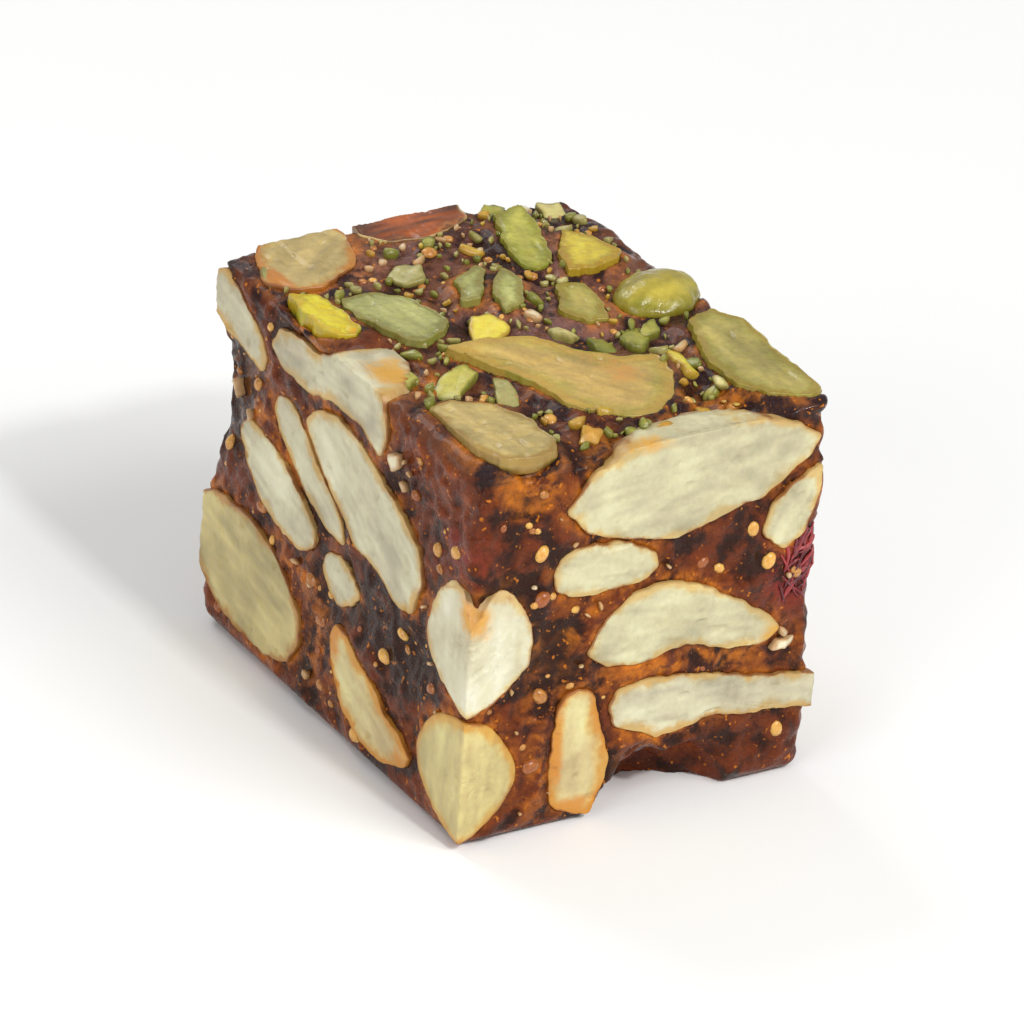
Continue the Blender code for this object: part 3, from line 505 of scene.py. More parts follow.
@dataclass
class Nut:
    """A nut set into a face or lying on top, with the shape that its solid has.

    Along its length, its girth at t in -1..1 is (1 - t^2)^sharpness, where the sharpness goes
    from start at one tip to end at the other; it is uneven, and the length bows to one side.
    """

    name: str
    face: str
    across: float
    up: float
    length: float
    width: float
    depth: float
    tilt: float
    start: float
    end: float
    finish: Finish
    seed: int = 0
    proud: float = 0.0
    rise: float = 0.0
    flat: bool = False
    chewed: float = 1.0
    rim: Rim | None = None

    def local_shape(self) -> np.ndarray:
        """The outline in shares of its half length and half width, along its own slant."""
        points = np.array(OUTLINES[self.name]) - (self.across, self.up)
        angle = math.radians(self.tilt)
        along = points @ (math.cos(angle), math.sin(angle))
        side = points @ (-math.sin(angle), math.cos(angle))
        along -= (along.max() + along.min()) / 2
        side -= (side.max() + side.min()) / 2
        return np.stack([along / along.max(), side / side.max()], axis=1)

    def draw_rim(self, lenders: dict[str, "Nut"]) -> None:
        """Takes the nut's own outline, or one lent by a nut that shows, stretched and turned."""
        if self.whole():
            return
        if self.name in OUTLINES:
            corners = np.array(OUTLINES[self.name])
        else:
            shape = lenders[LENT_SHAPES[self.seed % len(LENT_SHAPES)]].local_shape()
            if self.seed % 4 > 1:
                shape = shape[::-1] * (-1.0, 1.0)
            shape = shape * (self.length / 2, self.width / 2)
            angle = math.radians(self.tilt)
            turn = [[math.cos(angle), math.sin(angle)], [-math.sin(angle), math.cos(angle)]]
            corners = shape @ np.array(turn) + (self.across, self.up)
        if self.flat:
            self.rim = Rim(corners, self.seed, 1.2 * self.chewed, 0.08, 0.06)
        else:
            self.rim = Rim(corners, self.seed, self.chewed, 0.24, 0.16)

    def whole(self) -> bool:
        """Whether the nut keeps a whole nut's shape: cut by an upright edge, or a domed half."""
        return self.name.startswith("almond_edge") or self.name == "pistachio_half"

    def flat_places(self, places: np.ndarray) -> tuple[np.ndarray, np.ndarray]:
        """Places as across and up on the nut's face, and their heights off it."""
        face = FACES[self.face]
        local = places - np.array(face.corner)
        flat = np.stack([local @ np.array(face.first), local @ np.array(face.second)], axis=1)
        return flat, local @ np.array(face.outward)

    def frame(self) -> tuple[np.ndarray, np.ndarray]:
        """Axes as columns, along, across and out of the face, and the nut's middle."""
        face = FACES[self.face]
        first = np.array(face.first, float)
        second = np.array(face.second, float)
        turn = math.radians(self.tilt)
        along = first * math.cos(turn) + second * math.sin(turn)
        side = second * math.cos(turn) - first * math.sin(turn)
        axes = np.stack([along, side, np.array(face.outward, float)], axis=1)
        return axes, face.at(self.across, self.up)[0]

    def bow(self) -> float:
        """How far the length bows, as a share of the half width."""
        return 0.14 * math.sin(self.seed * 2.4)

    def swell(self, t: np.ndarray, cosine: np.ndarray, sine: np.ndarray) -> np.ndarray:
        """Girth at a height and an angle, as a share of the widest."""
        ring = np.sqrt(np.maximum(1.0 - t * t, 0.0))
        unit = np.stack([ring * cosine, ring * sine, t], axis=1)
        sharpness = self.start + (self.end - self.start) * (t + 1.0) / 2.0
        uneven = 1.0 + UNEVEN * value_noise(unit * 1.6 + 5.0, 1.0, self.seed)
        return np.maximum(1.0 - t * t, 0.0) ** sharpness * uneven

    def surface(self, t: np.ndarray, phi: np.ndarray) -> np.ndarray:
        """The whole nut's skin in its own frame: X along, Y across, Z out of the face."""
        cosine, sine = np.cos(phi), np.sin(phi)
        girth = self.swell(t, cosine, sine)
        sideways = girth * cosine + self.bow() * (0.5 - t * t)
        return np.stack(
            [t * self.length / 2, sideways * self.width / 2, girth * sine * self.depth], axis=1
        )

    def distance(self, places: np.ndarray) -> np.ndarray:
        """Rough distance from the nut's skin, below 0 inside it.

        For a nut with an outline it is the distance to the curve. For a whole nut the implicit
        form (r / uneven)^(1 / sharpness) + t^2 - 1 is divided by its slope.

        Args:
            places: points in block coordinates.

        Returns:
            A distance in millimetres for each.
        """
        if self.rim is not None:
            flat, height = self.flat_places(places)
            below = np.zeros(len(places)) - 9.0 if self.flat else -(self.depth + height) * 0.8
            return np.maximum(self.rim.gap(flat), below)
        axes, middle = self.frame()
        local = (places - middle) @ axes
        t = local[:, 0] / (self.length / 2)
        inner = np.clip(t, -1.0, 1.0)
        y = local[:, 1] / (self.width / 2) - self.bow() * (0.5 - inner * inner)
        z = local[:, 2] / self.depth
        reach = np.maximum(np.hypot(y, z), 1e-4)
        ring = np.sqrt(1.0 - inner * inner)
        unit = np.stack([ring * y / reach, ring * z / reach, inner], axis=1)
        uneven = 1.0 + UNEVEN * value_noise(unit * 1.6 + 5.0, 1.0, self.seed)
        power = 1.0 / (self.start + (self.end - self.start) * (inner + 1.0) / 2.0)
        share = np.minimum(reach / uneven, 4.0)
        form = share**power + t * t - 1.0
        per_mm = np.hypot(y / (self.width / 2), z / self.depth) / reach
        slope = np.hypot(2 * t / (self.length / 2), power * share ** (power - 1) * per_mm / uneven)
        return form / np.maximum(slope, 0.12)

    def streaks(self, points: np.ndarray) -> np.ndarray:
        """Light and dark streaks along the nut, 0 to 1: noise stretched along its length."""
        axes, middle = self.frame()
        local = (points - middle) @ axes
        coarse = value_noise(local * (0.3, 1.0, 1.0) + 20.0, 1.1, self.seed + 350)
        fine = value_noise(local * (0.25, 1.0, 1.0) + 20.0, 0.42, self.seed + 351)
        return np.clip(0.5 + 0.4 * coarse + 0.3 * fine, 0.0, 1.0)

    def reach(self) -> float:
        """Radius of a ball round the middle that holds the nut."""
        return max(self.length, self.width, 2 * self.depth) / 2 + 1.6

    def planes(self) -> list[tuple[np.ndarray, np.ndarray]]:
        """The cuts that bound the nut, each a point in the plane and the direction cut away."""
        axes, middle = self.frame()
        found = []
        for name, face in FACES.items():
            outward = np.array(face.outward, float)
            if self.flat and name in ("top", "under"):
                continue
            step = -UNDER_SETBACK if name == "under" else (0.1 if self.flat else self.proud)
            found.append((np.array(face.corner) + outward * step, outward))
        if self.flat:
            out = axes[:, 2]
            found.append((middle - out * SLICE_FOOT, -out))
            if self.rise > 0.0:
                lean = np.array([0.03, 0.05 if self.seed % 2 else -0.04, 1.0])
                lean = axes @ (lean / np.linalg.norm(lean))
                found.append((middle + out * self.rise, lean))
        return found


def almond(name: str, face: str, sizes: Sequence[float], finish: Finish) -> Nut:
    """An almond from its eight sizes: place, length, width, depth, tilt and both tips."""
    across, up, length, width, depth, tilt, start, end = sizes
    return Nut(name, face, across, up, length, width, depth, tilt, start, end, finish)


ALMONDS: list[Nut] = [
    almond("almond_front_top", "front", (16.7, 24.6, 19.2, 7.2, 4.0, 7, 0.55, 0.72), Finish.CREAM),
    almond("almond_front_corner", "front", (25.4, 20.9, 6.4, 3.2, 2.4, 66, 0.45, 0.7), Finish.CREAM),
    almond("almond_front_short", "front", (10.1, 19.2, 8.0, 3.2, 2.6, -5, 0.38, 0.5), Finish.CREAM),
    almond("almond_front_middle", "front", (16.8, 14.0, 15.4, 4.9, 3.4, -8, 0.5, 0.62), Finish.CREAM),
    almond("almond_front_strip", "front", (20.3, 7.4, 17.8, 3.3, 3.0, -5, 0.3, 0.4), Finish.GREY_CREAM),
    almond("almond_front_upright", "front", (9.2, 5.5, 9.6, 3.9, 3.2, 97, 0.5, 0.4), Finish.STAINED),
    almond("almond_edge_upper", "front", (0.0, 14.75, 9.1, 9.6, 5.2, 90, 0.8, 0.36), Finish.WHITE),
    almond("almond_edge_lower", "front", (0.0, 5.15, 9.1, 7.4, 5.8, 90, 0.72, 0.46), Finish.YELLOWED),
    almond("almond_left_back_top", "left", (2.8, 24.6, 8.6, 3.6, 2.6, -14, 0.5, 0.5), Finish.GREY_CREAM),
    almond("almond_left_top", "left", (15.6, 25.7, 15.4, 3.9, 4.3, 5, 0.5, 0.42), Finish.GREY_CREAM),
    almond("almond_left_large", "left", (21.6, 18.9, 16.2, 5.6, 3.6, -28, 0.6, 0.45), Finish.GREY_CREAM),
    almond("almond_left_thin", "left", (13.6, 17.8, 12.6, 2.9, 2.8, -31, 0.5, 0.5), Finish.GREY_CREAM),
    almond("almond_left_strip", "left", (9.9, 15.0, 12.0, 3.9, 3.2, -17, 0.5, 0.5), Finish.GREY_CREAM),
    almond("almond_left_small", "left", (18.6, 11.4, 5.4, 2.6, 2.4, -10, 0.55, 0.5), Finish.GREY_CREAM),
    almond("almond_left_bottom", "left", (7.0, 6.1, 14.2, 8.0, 4.0, -10, 0.45, 0.6), Finish.KHAKI_NUT),
    almond("almond_left_low_middle", "left", (23.2, 4.8, 11.6, 4.5, 3.4, -24, 0.5, 0.55), Finish.STAINED),
    almond("almond_top_corner", "top", (5.6, 31.9, 8.6, 6.4, 2.2, 38, 0.42, 0.45), Finish.TAN),
    almond("almond_top_back", "top", (14.8, 34.3, 9.2, 3.6, 3.0, 2, 0.5, 0.55), Finish.SKIN),
]

HIDDEN_ALMONDS: dict[str, list[tuple[tuple[float, ...], Finish]]] = {
    "right": [
        ((11.0, 23.0, 14.0, 4.8, 3.6, -9, 0.6, 0.5), Finish.CREAM),
        ((26.2, 22.6, 12.6, 4.4, 3.2, 12, 0.5, 0.6), Finish.GREY_CREAM),
        ((18.2, 17.0, 12.0, 3.8, 3.2, -20, 0.55, 0.5), Finish.CREAM),
        ((7.4, 15.0, 8.8, 3.4, 3.0, 24, 0.45, 0.6), Finish.STAINED),
        ((29.2, 14.9, 10.2, 3.8, 3.4, -14, 0.5, 0.5), Finish.CREAM),
        ((16.6, 9.9, 14.6, 4.8, 3.6, -5, 0.62, 0.5), Finish.GREY_CREAM),
        ((29.9, 7.4, 9.0, 4.2, 3.2, 30, 0.5, 0.6), Finish.KHAKI_NUT),
        ((22.4, 3.5, 8.6, 3.0, 2.8, -4, 0.4, 0.5), Finish.CREAM),
        ((8.8, 4.1, 11.6, 4.2, 3.4, 8, 0.5, 0.6), Finish.STAINED),
    ],
    "back": [
        ((6.2, 21.2, 10.4, 4.0, 3.2, 18, 0.5, 0.6), Finish.CREAM),
        ((17.9, 19.3, 11.4, 4.4, 3.4, -12, 0.6, 0.5), Finish.GREY_CREAM),
        ((9.0, 14.4, 12.6, 4.4, 3.4, -8, 0.5, 0.55), Finish.CREAM),
        ((20.8, 13.4, 8.8, 3.6, 3.0, 22, 0.45, 0.6), Finish.STAINED),
        ((6.4, 8.0, 8.6, 3.8, 3.2, 28, 0.5, 0.5), Finish.GREY_CREAM),
        ((15.4, 7.9, 9.8, 4.0, 3.4, -16, 0.55, 0.5), Finish.CREAM),
        ((9.6, 2.9, 11.0, 3.0, 2.8, 3, 0.4, 0.5), Finish.STAINED),
    ],
    "under": [
        ((10.4, 10.4, 14.6, 5.8, 2.4, 24, 0.6, 0.5), Finish.GREY_CREAM),
        ((18.6, 20.2, 13.0, 5.0, 2.4, -38, 0.5, 0.6), Finish.CREAM),
        ((8.4, 24.0, 11.0, 4.6, 2.4, 62, 0.5, 0.55), Finish.KHAKI_NUT),
    ],
}

ALMONDS += [
    almond(f"almond_{face}_{number}", face, sizes, finish)
    for face, rows in HIDDEN_ALMONDS.items()
    for number, (sizes, finish) in enumerate(rows, start=1)
]


def pistachio(name: str, sizes: Sequence[float], finish: Finish, dome: float = 0.0) -> Nut:
    """A pistachio slice from its eight sizes: place, length, width, tilt, rise and both tips."""
    across, up, length, width, tilt, rise, start, end = sizes
    depth = dome if dome else rise + 0.9
    nut = Nut(name, "top", across, up, length, width, depth, tilt, start, end, finish)
    nut.rise = rise
    nut.flat = True
    return nut


SLICES: list[Nut] = [
    pistachio("pistachio_large", (12.8, 10.9, 15.5, 9.7, 127, 0.75, 0.8, 0.42), Finish.LARGE),
    pistachio("pistachio_front_left", (4.0, 5.4, 9.9, 5.8, 96, 0.6, 0.4, 0.5), Finish.BEIGE),
    pistachio("pistachio_right", (24.7, 7.4, 12.6, 5.4, 89, 0.7, 0.5, 0.6), Finish.OLIVE),
    pistachio("pistachio_half", (24.2, 18.1, 6.6, 5.4, 16, 0.0, 0.5, 0.5), Finish.GLOSSY, 1.6),
    pistachio("pistachio_khaki", (18.5, 18.7, 5.3, 3.1, 79, 0.6, 0.45, 0.5), Finish.KHAKI),
    pistachio("pistachio_mustard", (22.8, 24.6, 6.7, 4.2, 65, 0.9, 0.45, 0.7), Finish.MUSTARD),
    pistachio("pistachio_long", (19.7, 28.3, 9.0, 2.8, 72, 0.8, 0.4, 0.5), Finish.LEAF),
    pistachio("pistachio_middle_left", (12.9, 24.0, 5.8, 2.1, 53, 0.7, 0.5, 0.5), Finish.GREY_GREEN),
    pistachio("pistachio_middle_right", (14.7, 21.9, 6.0, 2.1, 61, 0.8, 0.5, 0.6), Finish.GREY_GREEN),
    pistachio("pistachio_pitted", (6.2, 22.1, 8.3, 5.1, 100, 0.55, 0.5, 0.45), Finish.GREY_GREEN),
    pistachio("pistachio_left_edge", (1.5, 23.7, 6.5, 2.5, 96, 0.9, 0.5, 0.6), Finish.BRIGHT),
]


@dataclass
class NutBody:
    """The dressed body of one nut: a fine grid drawn in to the knife's planes."""

    nut: Nut
    rings: int = 72
    sides: int = 144

    def heart(self) -> np.ndarray:
        """A point well inside every cut, from which the grid is drawn in."""
        _, middle = self.nut.frame()
        depth = 0.4 * min(self.nut.depth, self.nut.width / 2)
        heart = middle.copy()
        for _ in range(2):
            for spot, outward in self.nut.planes():
                margin = 0.3 if self.nut.flat else depth
                excess = float((heart - spot) @ outward) + margin
                heart -= outward * max(excess, 0.0)
        return heart

    def build(self) -> bpy.types.Object:
        """Makes the body.

        A point P of the whole nut moves towards the heart C to C + (P - C) * s, where s is a
        soft minimum of 1 and of the share at which the line from C meets each plane. Noise
        across the cut face gives the knife's marks, and noise on the wall a wrinkled skin.

        Returns:
            The new object, with the layers "inner", "wall", "soaked" and "streak".
        """
        nut = self.nut
        t, phi, quads, caps = ball_grid(self.rings, self.sides)
        axes, middle = nut.frame()
        whole = nut.surface(t, phi) @ axes.T + middle
        swing = noises(whole, (0.10, 1.1, nut.seed + 300), (0.06 * nut.chewed, 0.5, nut.seed + 301))
        swing += 0.05 * (nut.chewed - 1.0) * value_noise(whole, 0.26, nut.seed + 302)
        heart = self.heart()
        ray = whole - heart
        length = np.linalg.norm(ray, axis=1)
        ray *= (1.0 + swing / np.maximum(length, 0.5))[:, None]
        shares = [np.ones(len(ray))]
        rough = noises(whole, (0.07, 1.7, nut.seed + 310), (0.035, 0.55, nut.seed + 311))
        for spot, outward in nut.planes():
            room = float((spot - heart) @ outward)
            facing = np.maximum(ray @ outward, 1e-3)
            shares.append(np.minimum((room + rough) / facing, 3.0))
        stack = np.stack(shares)
        sharp = 34.0
        share = -np.log(np.sum(np.exp(-sharp * stack), axis=0)) / sharp
        cut = smoothstep(0.0, 0.03, 1.0 - np.min(stack, axis=0))
        points = self.worked(heart + ray * share[:, None], cut)
        inner = np.clip(-nut.distance(points), 0.0, 3.0)
        wall = 1.0 - cut
        if nut.flat:
            inner = np.clip(1.3 * (points[:, 2] - HEIGHT), 0.0, 3.0)
            wall = 0.0 * cut
        layers = {"inner": inner, "wall": wall, "soaked": spots(points, SOAKED_SPOTS)}
        layers["streak"] = nut.streaks(points)
        return Mesher(nut.name + "_flesh").make(points, quads, caps, layers)

    def worked(self, points: np.ndarray, cut: np.ndarray) -> np.ndarray:
        """Adds fine marks along the normal of the cut: low ridges, grain and pits."""
        nut = self.nut
        axes, middle = nut.frame()
        local = (points - middle) @ axes
        stretched = local * np.array([0.35, 1.5, 1.5])
        marks = 0.045 * value_noise(stretched + 9.0, 0.55, nut.seed + 330)
        grain = 0.022 * value_noise(local + 4.0, 0.3, nut.seed + 331)
        pits = value_noise(local + 2.0, 0.8, nut.seed + 332)
        hollow = -0.14 * smoothstep(0.45, 0.85, pits)
        height = (marks + grain + hollow) * cut
        points = points + height[:, None] * axes[:, 2]
        if nut.name == "almond_edge_upper":
            from_edge = np.hypot(local[:, 1], local[:, 2])
            notch = 2.3 * np.exp(-((from_edge / 1.0) ** 1.5)) * smoothstep(0.3, 4.2, local[:, 0])
            lobes = 0.5 * np.exp(-(((from_edge - 2.3) / 1.1) ** 2)) * smoothstep(1.5, 4.0, local[:, 0])
            points = points + (lobes - notch)[:, None] * axes[:, 0]
        return points


@dataclass
class CutBody:
    """The dressed body of a nut with an outline: rings of its rim, carried along a profile."""

    nut: Nut
    count: int = 168
    rings: int = 34
    bevel: float = 0.11

    def profile(self) -> tuple[np.ndarray, np.ndarray, np.ndarray]:
        """Share of the outline, height under the top and kind, 1 on the cut, along the profile.

        From the middle of the cut out to a rounded rim, down the wall, then round the bowl
        (cos a)^0.85, -depth sin a for an almond, or in under the slice to its middle.
        """
        nut = self.nut
        mean = float(np.mean(np.linalg.norm(nut.rim.curve - nut.rim.middle, axis=1)))
        small = self.bevel / mean
        cap = np.linspace(0.0, 1.0, self.rings + 1)[1:] * (1.0 - small)
        turn = np.radians([22.5, 45.0, 67.5, 90.0])
        share = [cap, 1.0 - small * (1.0 - np.sin(turn))]
        height = [np.zeros(len(cap)), -self.bevel * (1.0 - np.cos(turn))]
        kind = [np.ones(len(cap)), np.zeros(len(turn))]
        if nut.flat:
            top = nut.rise
            low = np.linspace(-self.bevel, -top, 5)[1:]
            share += [1.0 + 0.02 * np.sin(np.linspace(0, np.pi, 4)), np.linspace(0.99, 0.93, 4)]
            height += [low, np.linspace(-top - 0.1, -top - 0.56, 4)]
            share += [np.linspace(0.88, 0.15, 5)]
            height += [np.full(5, -top - SLICE_FOOT)]
        else:
            angle = np.linspace(0.0, np.pi / 2, 13)[1:-1]
            share += [np.cos(angle) ** 0.85]
            height += [-self.bevel - nut.proud - nut.depth * np.sin(angle)]
        share_all = np.concatenate(share)
        kinds = np.concatenate(kind + [np.zeros(len(share_all) - sum(map(len, kind)))])
        return share_all, np.concatenate(height), kinds

    def build(self) -> bpy.types.Object:
        """Makes the body as an object of its own."""
        shell = self.shell()
        mesher = Mesher(self.nut.name + "_flesh")
        return mesher.make(shell.points, shell.quads, shell.triangles, shell.layers)

    def shell(self) -> Shell:
        """Works the body out.

        A point is middle + share * (curve - middle) at its height. What lies past another
        knife plane is drawn in towards the heart C to C + (P - C) * s, s being the share at
        which the line from C meets that plane. Noise across the cut gives the knife's marks.

        Returns:
            The surface, with the layers "inner", "wall", "soaked" and "streak".
        """
        nut = self.nut
        face = FACES[nut.face]
        share, height, kind = self.profile()
        curve = spaced(nut.rim.curve, self.count) - nut.rim.middle
        flat = nut.rim.middle + share[:, None, None] * curve[None]
        flat = np.concatenate([nut.rim.middle[None], flat.reshape(-1, 2), nut.rim.middle[None]])
        last = -nut.rise - SLICE_FOOT if nut.flat else -nut.depth - nut.proud - self.bevel
        heights = np.concatenate([[0.0], np.repeat(height, self.count), [last]])
        kinds = np.concatenate([[1.0], np.repeat(kind, self.count), [0.0]])
        lean = 0.05 if nut.seed % 2 else -0.04
        away = flat - np.array([nut.across, nut.up])
        top = nut.rise - 0.03 * away[:, 0] - lean * away[:, 1] if nut.flat else nut.proud
        solid = np.clip(-heights / max(nut.rise, 0.3), 0.0, 1.0) if nut.flat else 0.0
        heights = heights + top * (1.0 - solid) + (nut.rise * solid if nut.flat else 0.0)
        out = np.array(face.outward, float)
        points = face.at(flat[:, 0], flat[:, 1]) + heights[:, None] * out
        points = points + self.marks(flat, kinds)[:, None] * out
        points, clipped = self.drawn_in(points)
        layers = {
            "inner": np.clip(-nut.distance(points), 0.0, 3.0),
            "wall": (1.0 - kinds) * (1.0 - clipped),
            "soaked": spots(points, SOAKED_SPOTS),
            "streak": nut.streaks(points),
        }
        return Shell(points, *capped(len(share), self.count), layers)

    def marks(self, flat: np.ndarray, kinds: np.ndarray) -> np.ndarray:
        """Height of the knife's marks, grain and pits over the cut, fading out at the rim."""
        nut = self.nut
        place = np.column_stack([flat, np.full(len(flat), 1.0)])
        angle = math.radians(nut.tilt)
        along = flat @ (math.cos(angle), math.sin(angle))
        side = flat @ (-math.sin(angle), math.cos(angle))
        drawn = np.column_stack([along * 0.3, side * 1.4, np.full(len(flat), 2.0)])
        marks = 0.075 * value_noise(place, 2.0, nut.seed + 340)
        marks += 0.05 * value_noise(drawn, 0.55, nut.seed + 341)
        marks += 0.03 * value_noise(place, 0.35, nut.seed + 342)
        pits = value_noise(place, 0.9, nut.seed + 343)
        marks -= 0.16 * smoothstep(0.5, 0.9, pits)
        fade = smoothstep(-0.02, -0.5, nut.rim.gap(flat))
        return marks * kinds * (0.35 + 0.65 * fade) - 0.05 * (1.0 - fade) * kinds

    def drawn_in(self, points: np.ndarray) -> tuple[np.ndarray, np.ndarray]:
        """Draws what lies past the block's other faces in to them, and says which points."""
        nut = self.nut
        face = FACES[nut.face]
        centre = face.at(nut.rim.middle[0], nut.rim.middle[1])[0]
        level = (nut.rise - SLICE_FOOT) / 2 if nut.flat else -0.45 * nut.depth
        heart = centre + np.array(face.outward) * level
        planes = nut.planes()[: 4 if nut.flat else 6]
        planes = [(spot, out) for spot, out in planes if abs(float(out @ np.array(face.outward))) < 0.5]
        for spot, out in planes:
            excess = float((heart - spot) @ out) + 0.3 * nut.depth
            heart = heart - out * max(excess, 0.0)
        ray = points - heart
        share = np.ones(len(points))
        rough = noises(points, (0.07, 1.4, nut.seed + 311), (0.03, 0.5, nut.seed + 312))
        for spot, out in planes:
            room = float((spot - heart) @ out)
            share = np.minimum(share, (room + rough) / np.maximum(ray @ out, 1e-3))
        clipped = smoothstep(0.0, 0.04, 1.0 - share)
        return heart + ray * share[:, None], clipped


@dataclass
class PasteSkin:
    """The sticky outside of the paste: a rounded rough box that meets the rims of the nuts."""

    nuts: list[Nut]
    cells: tuple[int, int, int] = (113, 148, 117)

    def relief(self, points: np.ndarray) -> np.ndarray:
        """Height over the rounded box: the solid's own relief and finer crags on it."""
        relief = COARSE_RELIEF * value_noise(points, COARSE_CELL, 11)
        relief += FINE_RELIEF * value_noise(points, FINE_CELL, 12)
        relief -= PASTE_SETBACK
        relief -= 0.9 * bump(points, (6.6, -DEPTH / 2 + 3.6, HEIGHT), (4.2, 2.6, 2.0))
        relief -= 0.5 * bump(points, (-5.4, -DEPTH / 2, HEIGHT), (6.0, 3.0, 2.6))
        relief -= 1.1 * bump(points, (-WIDTH / 2, DEPTH / 2, 18.0), (3.0, 4.0, 4.0))
        relief -= 0.6 * bump(points, (WIDTH / 2, DEPTH / 2, HEIGHT), (4.5, 5.0, 3.5))
        crags = 0.5 - np.abs(value_noise(points, 1.25, 31))
        relief += 0.22 * crags + 0.13 * value_noise(points, 0.8, 32)
        relief += 0.08 * value_noise(points, 0.45, 33)
        return relief * np.clip(points[:, 2] / 1.6, 0.0, 1.0)

    def scooped(self, points: np.ndarray) -> np.ndarray:
        """Points inside the chip's ellipsoid move inward and up until they lie on it."""
        uneven = 1.0 + 0.13 * value_noise(points, 2.6, 13) + 0.05 * value_noise(points, 1.0, 14)
        radii = CHIP_RADII * uneven[:, None]
        way = np.array([0.0, 1.0, 1.0]) / math.sqrt(2.0)
        start = (points - CHIP_CENTRE) / radii
        step = way / radii
        inside = np.sum(start * start, axis=1) < 1.0
        a = np.sum(step * step, axis=1)
        b = np.sum(start * step, axis=1)
        c = np.sum(start * start, axis=1) - 1.0
        travel = (-b + np.sqrt(np.maximum(b * b - a * c, 0.0))) / a
        return np.where(inside[:, None], points + travel[:, None] * way, points)

    def shape(self, points: np.ndarray) -> tuple[np.ndarray, np.ndarray, np.ndarray]:
        """Carries points of the sharp box to the skin.

        Each point goes out from the box's core by the edge radius and the relief. Near a nut
        its height is then drawn towards just below the nut's cut, and under a nut it sinks.

        Args:
            points: places on the sharp box.

        Returns:
            The places on the skin, the distance to the nearest nut, and the relief.
        """
        half = np.array([WIDTH / 2, DEPTH / 2, HEIGHT / 2])
        middle = np.array([0.0, 0.0, HEIGHT / 2])
        core = np.clip(points - middle, EDGE_RADIUS - half, half - EDGE_RADIUS) + middle
        outward = points - core
        outward /= np.linalg.norm(outward, axis=1)[:, None]
        relief = self.relief(points)
        skin = self.scooped(core + outward * (EDGE_RADIUS + relief)[:, None])
        nearest = np.full(len(points), 9.0)
        for nut in self.nuts:
            _, centre = nut.frame()
            close = np.flatnonzero(np.linalg.norm(skin - centre, axis=1) < nut.reach())
            if not len(close):
                continue
            away = nut.distance(skin[close])
            nearest[close] = np.minimum(nearest[close], away)
            height = np.max(np.abs(skin[close] - middle) - half, axis=1)
            if nut.flat:
                low = nut.rise - 0.34 if nut.rise else 0.05
                high, sunk = low + 0.3, -0.42
            else:
                low, high, sunk = nut.proud - 0.30, nut.proud - 0.07, nut.proud - 0.60
            facing = outward[close] @ np.array(FACES[nut.face].outward, float)
            upward = smoothstep(0.3, 0.75, facing) if nut.flat else 1.0
            target = np.clip(height, low, high)
            drawn = (target - height) * (1.0 - smoothstep(0.1, 1.5 if nut.flat else 1.0, away))
            under = smoothstep(0.05, -0.35, away) if away.min() < 0.05 else 0.0 * away
            drawn = drawn * (1.0 - under) + np.minimum(sunk - height, 0.0) * under
            lift = np.clip(skin[close, 2] / 1.0, 0.0, 1.0)
            skin[close] += outward[close] * (drawn * lift * upward)[:, None]
        return skin, nearest, relief

    def build(self) -> bpy.types.Object:
        """Makes the skin, with layers for its height, the nuts' halos, the crown and each patch."""
        unit, quads = box_grid(self.cells)
        box = (unit - np.array([0.5, 0.5, 0.0])) * np.array([WIDTH, DEPTH, HEIGHT])
        skin, nearest, relief = self.shape(box)
        layers = {
            "halo": np.exp(-((np.maximum(nearest, 0.0) / 0.6) ** 1.5)),
            "height": relief,
            "crown": smoothstep(HEIGHT - 1.2, HEIGHT - 0.2, skin[:, 2]),
            "amber": spots(skin, AMBER_SPOTS),
            "dark": spots(skin, DARK_AND_SHADOW_SPOTS),
            "violet_sheen": spots(skin, VIOLET_SHEEN_SPOTS),
            "rose": spots(skin, ROSE_SPOTS),
        }
        return Mesher("paste_skin").make(skin, quads, None, layers)

    def spot(self, face: str, across: float, up: float) -> tuple[np.ndarray, np.ndarray]:
        """Where a place on a face meets the skin, and the smoothed direction out of it."""
        side = FACES[face]
        reach = 0.35
        steps = np.array([[0, 0], [reach, 0], [-reach, 0], [0, reach], [0, -reach]])
        box = side.at(across + steps[:, 0], up + steps[:, 1])
        half = np.array([WIDTH / 2, DEPTH / 2, HEIGHT / 2]) - 1e-4
        middle = np.array([0.0, 0.0, HEIGHT / 2])
        box = np.clip(box - middle, -half, half) + middle + np.array(side.outward) * 2e-4
        skin, _, _ = self.shape(box)
        normal = np.cross(skin[1] - skin[2], skin[3] - skin[4])
        normal /= np.linalg.norm(normal)
        if normal @ np.array(side.outward) < 0:
            normal = -normal
        return skin[0], normal


def bump(points: np.ndarray, centre: Sequence[float], radii: Sequence[float]) -> np.ndarray:
    """A soft hill of height 1 at the centre, exp(-r^2), that fades out over the radii."""
    away = (points - np.array(centre)) / np.array(radii)
    return np.exp(-np.sum(away * away, axis=1))


@dataclass(frozen=True)
class Spot:
    """A soft patch of another tone on a face."""

    face: str
    across: float
    up: float
    half_width: float
    half_height: float
    strength: float = 1.0


def spots(points: np.ndarray, table: list[Spot]) -> np.ndarray:
    """Strength of the patches at each point: the greatest of their soft hills, 0 to 1."""
    total = np.zeros(len(points))
    for item in table:
        face = FACES[item.face]
        first = np.array(face.first, float)
        second = np.array(face.second, float)
        local = points - face.at(item.across, item.up)[0]
        u = (local @ first) / item.half_width
        v = (local @ second) / item.half_height
        w = (local @ np.array(face.outward, float)) / 1.6
        total = np.maximum(total, item.strength * np.exp(-(u**4 + v**4) ** 0.5 - w * w))
    return total


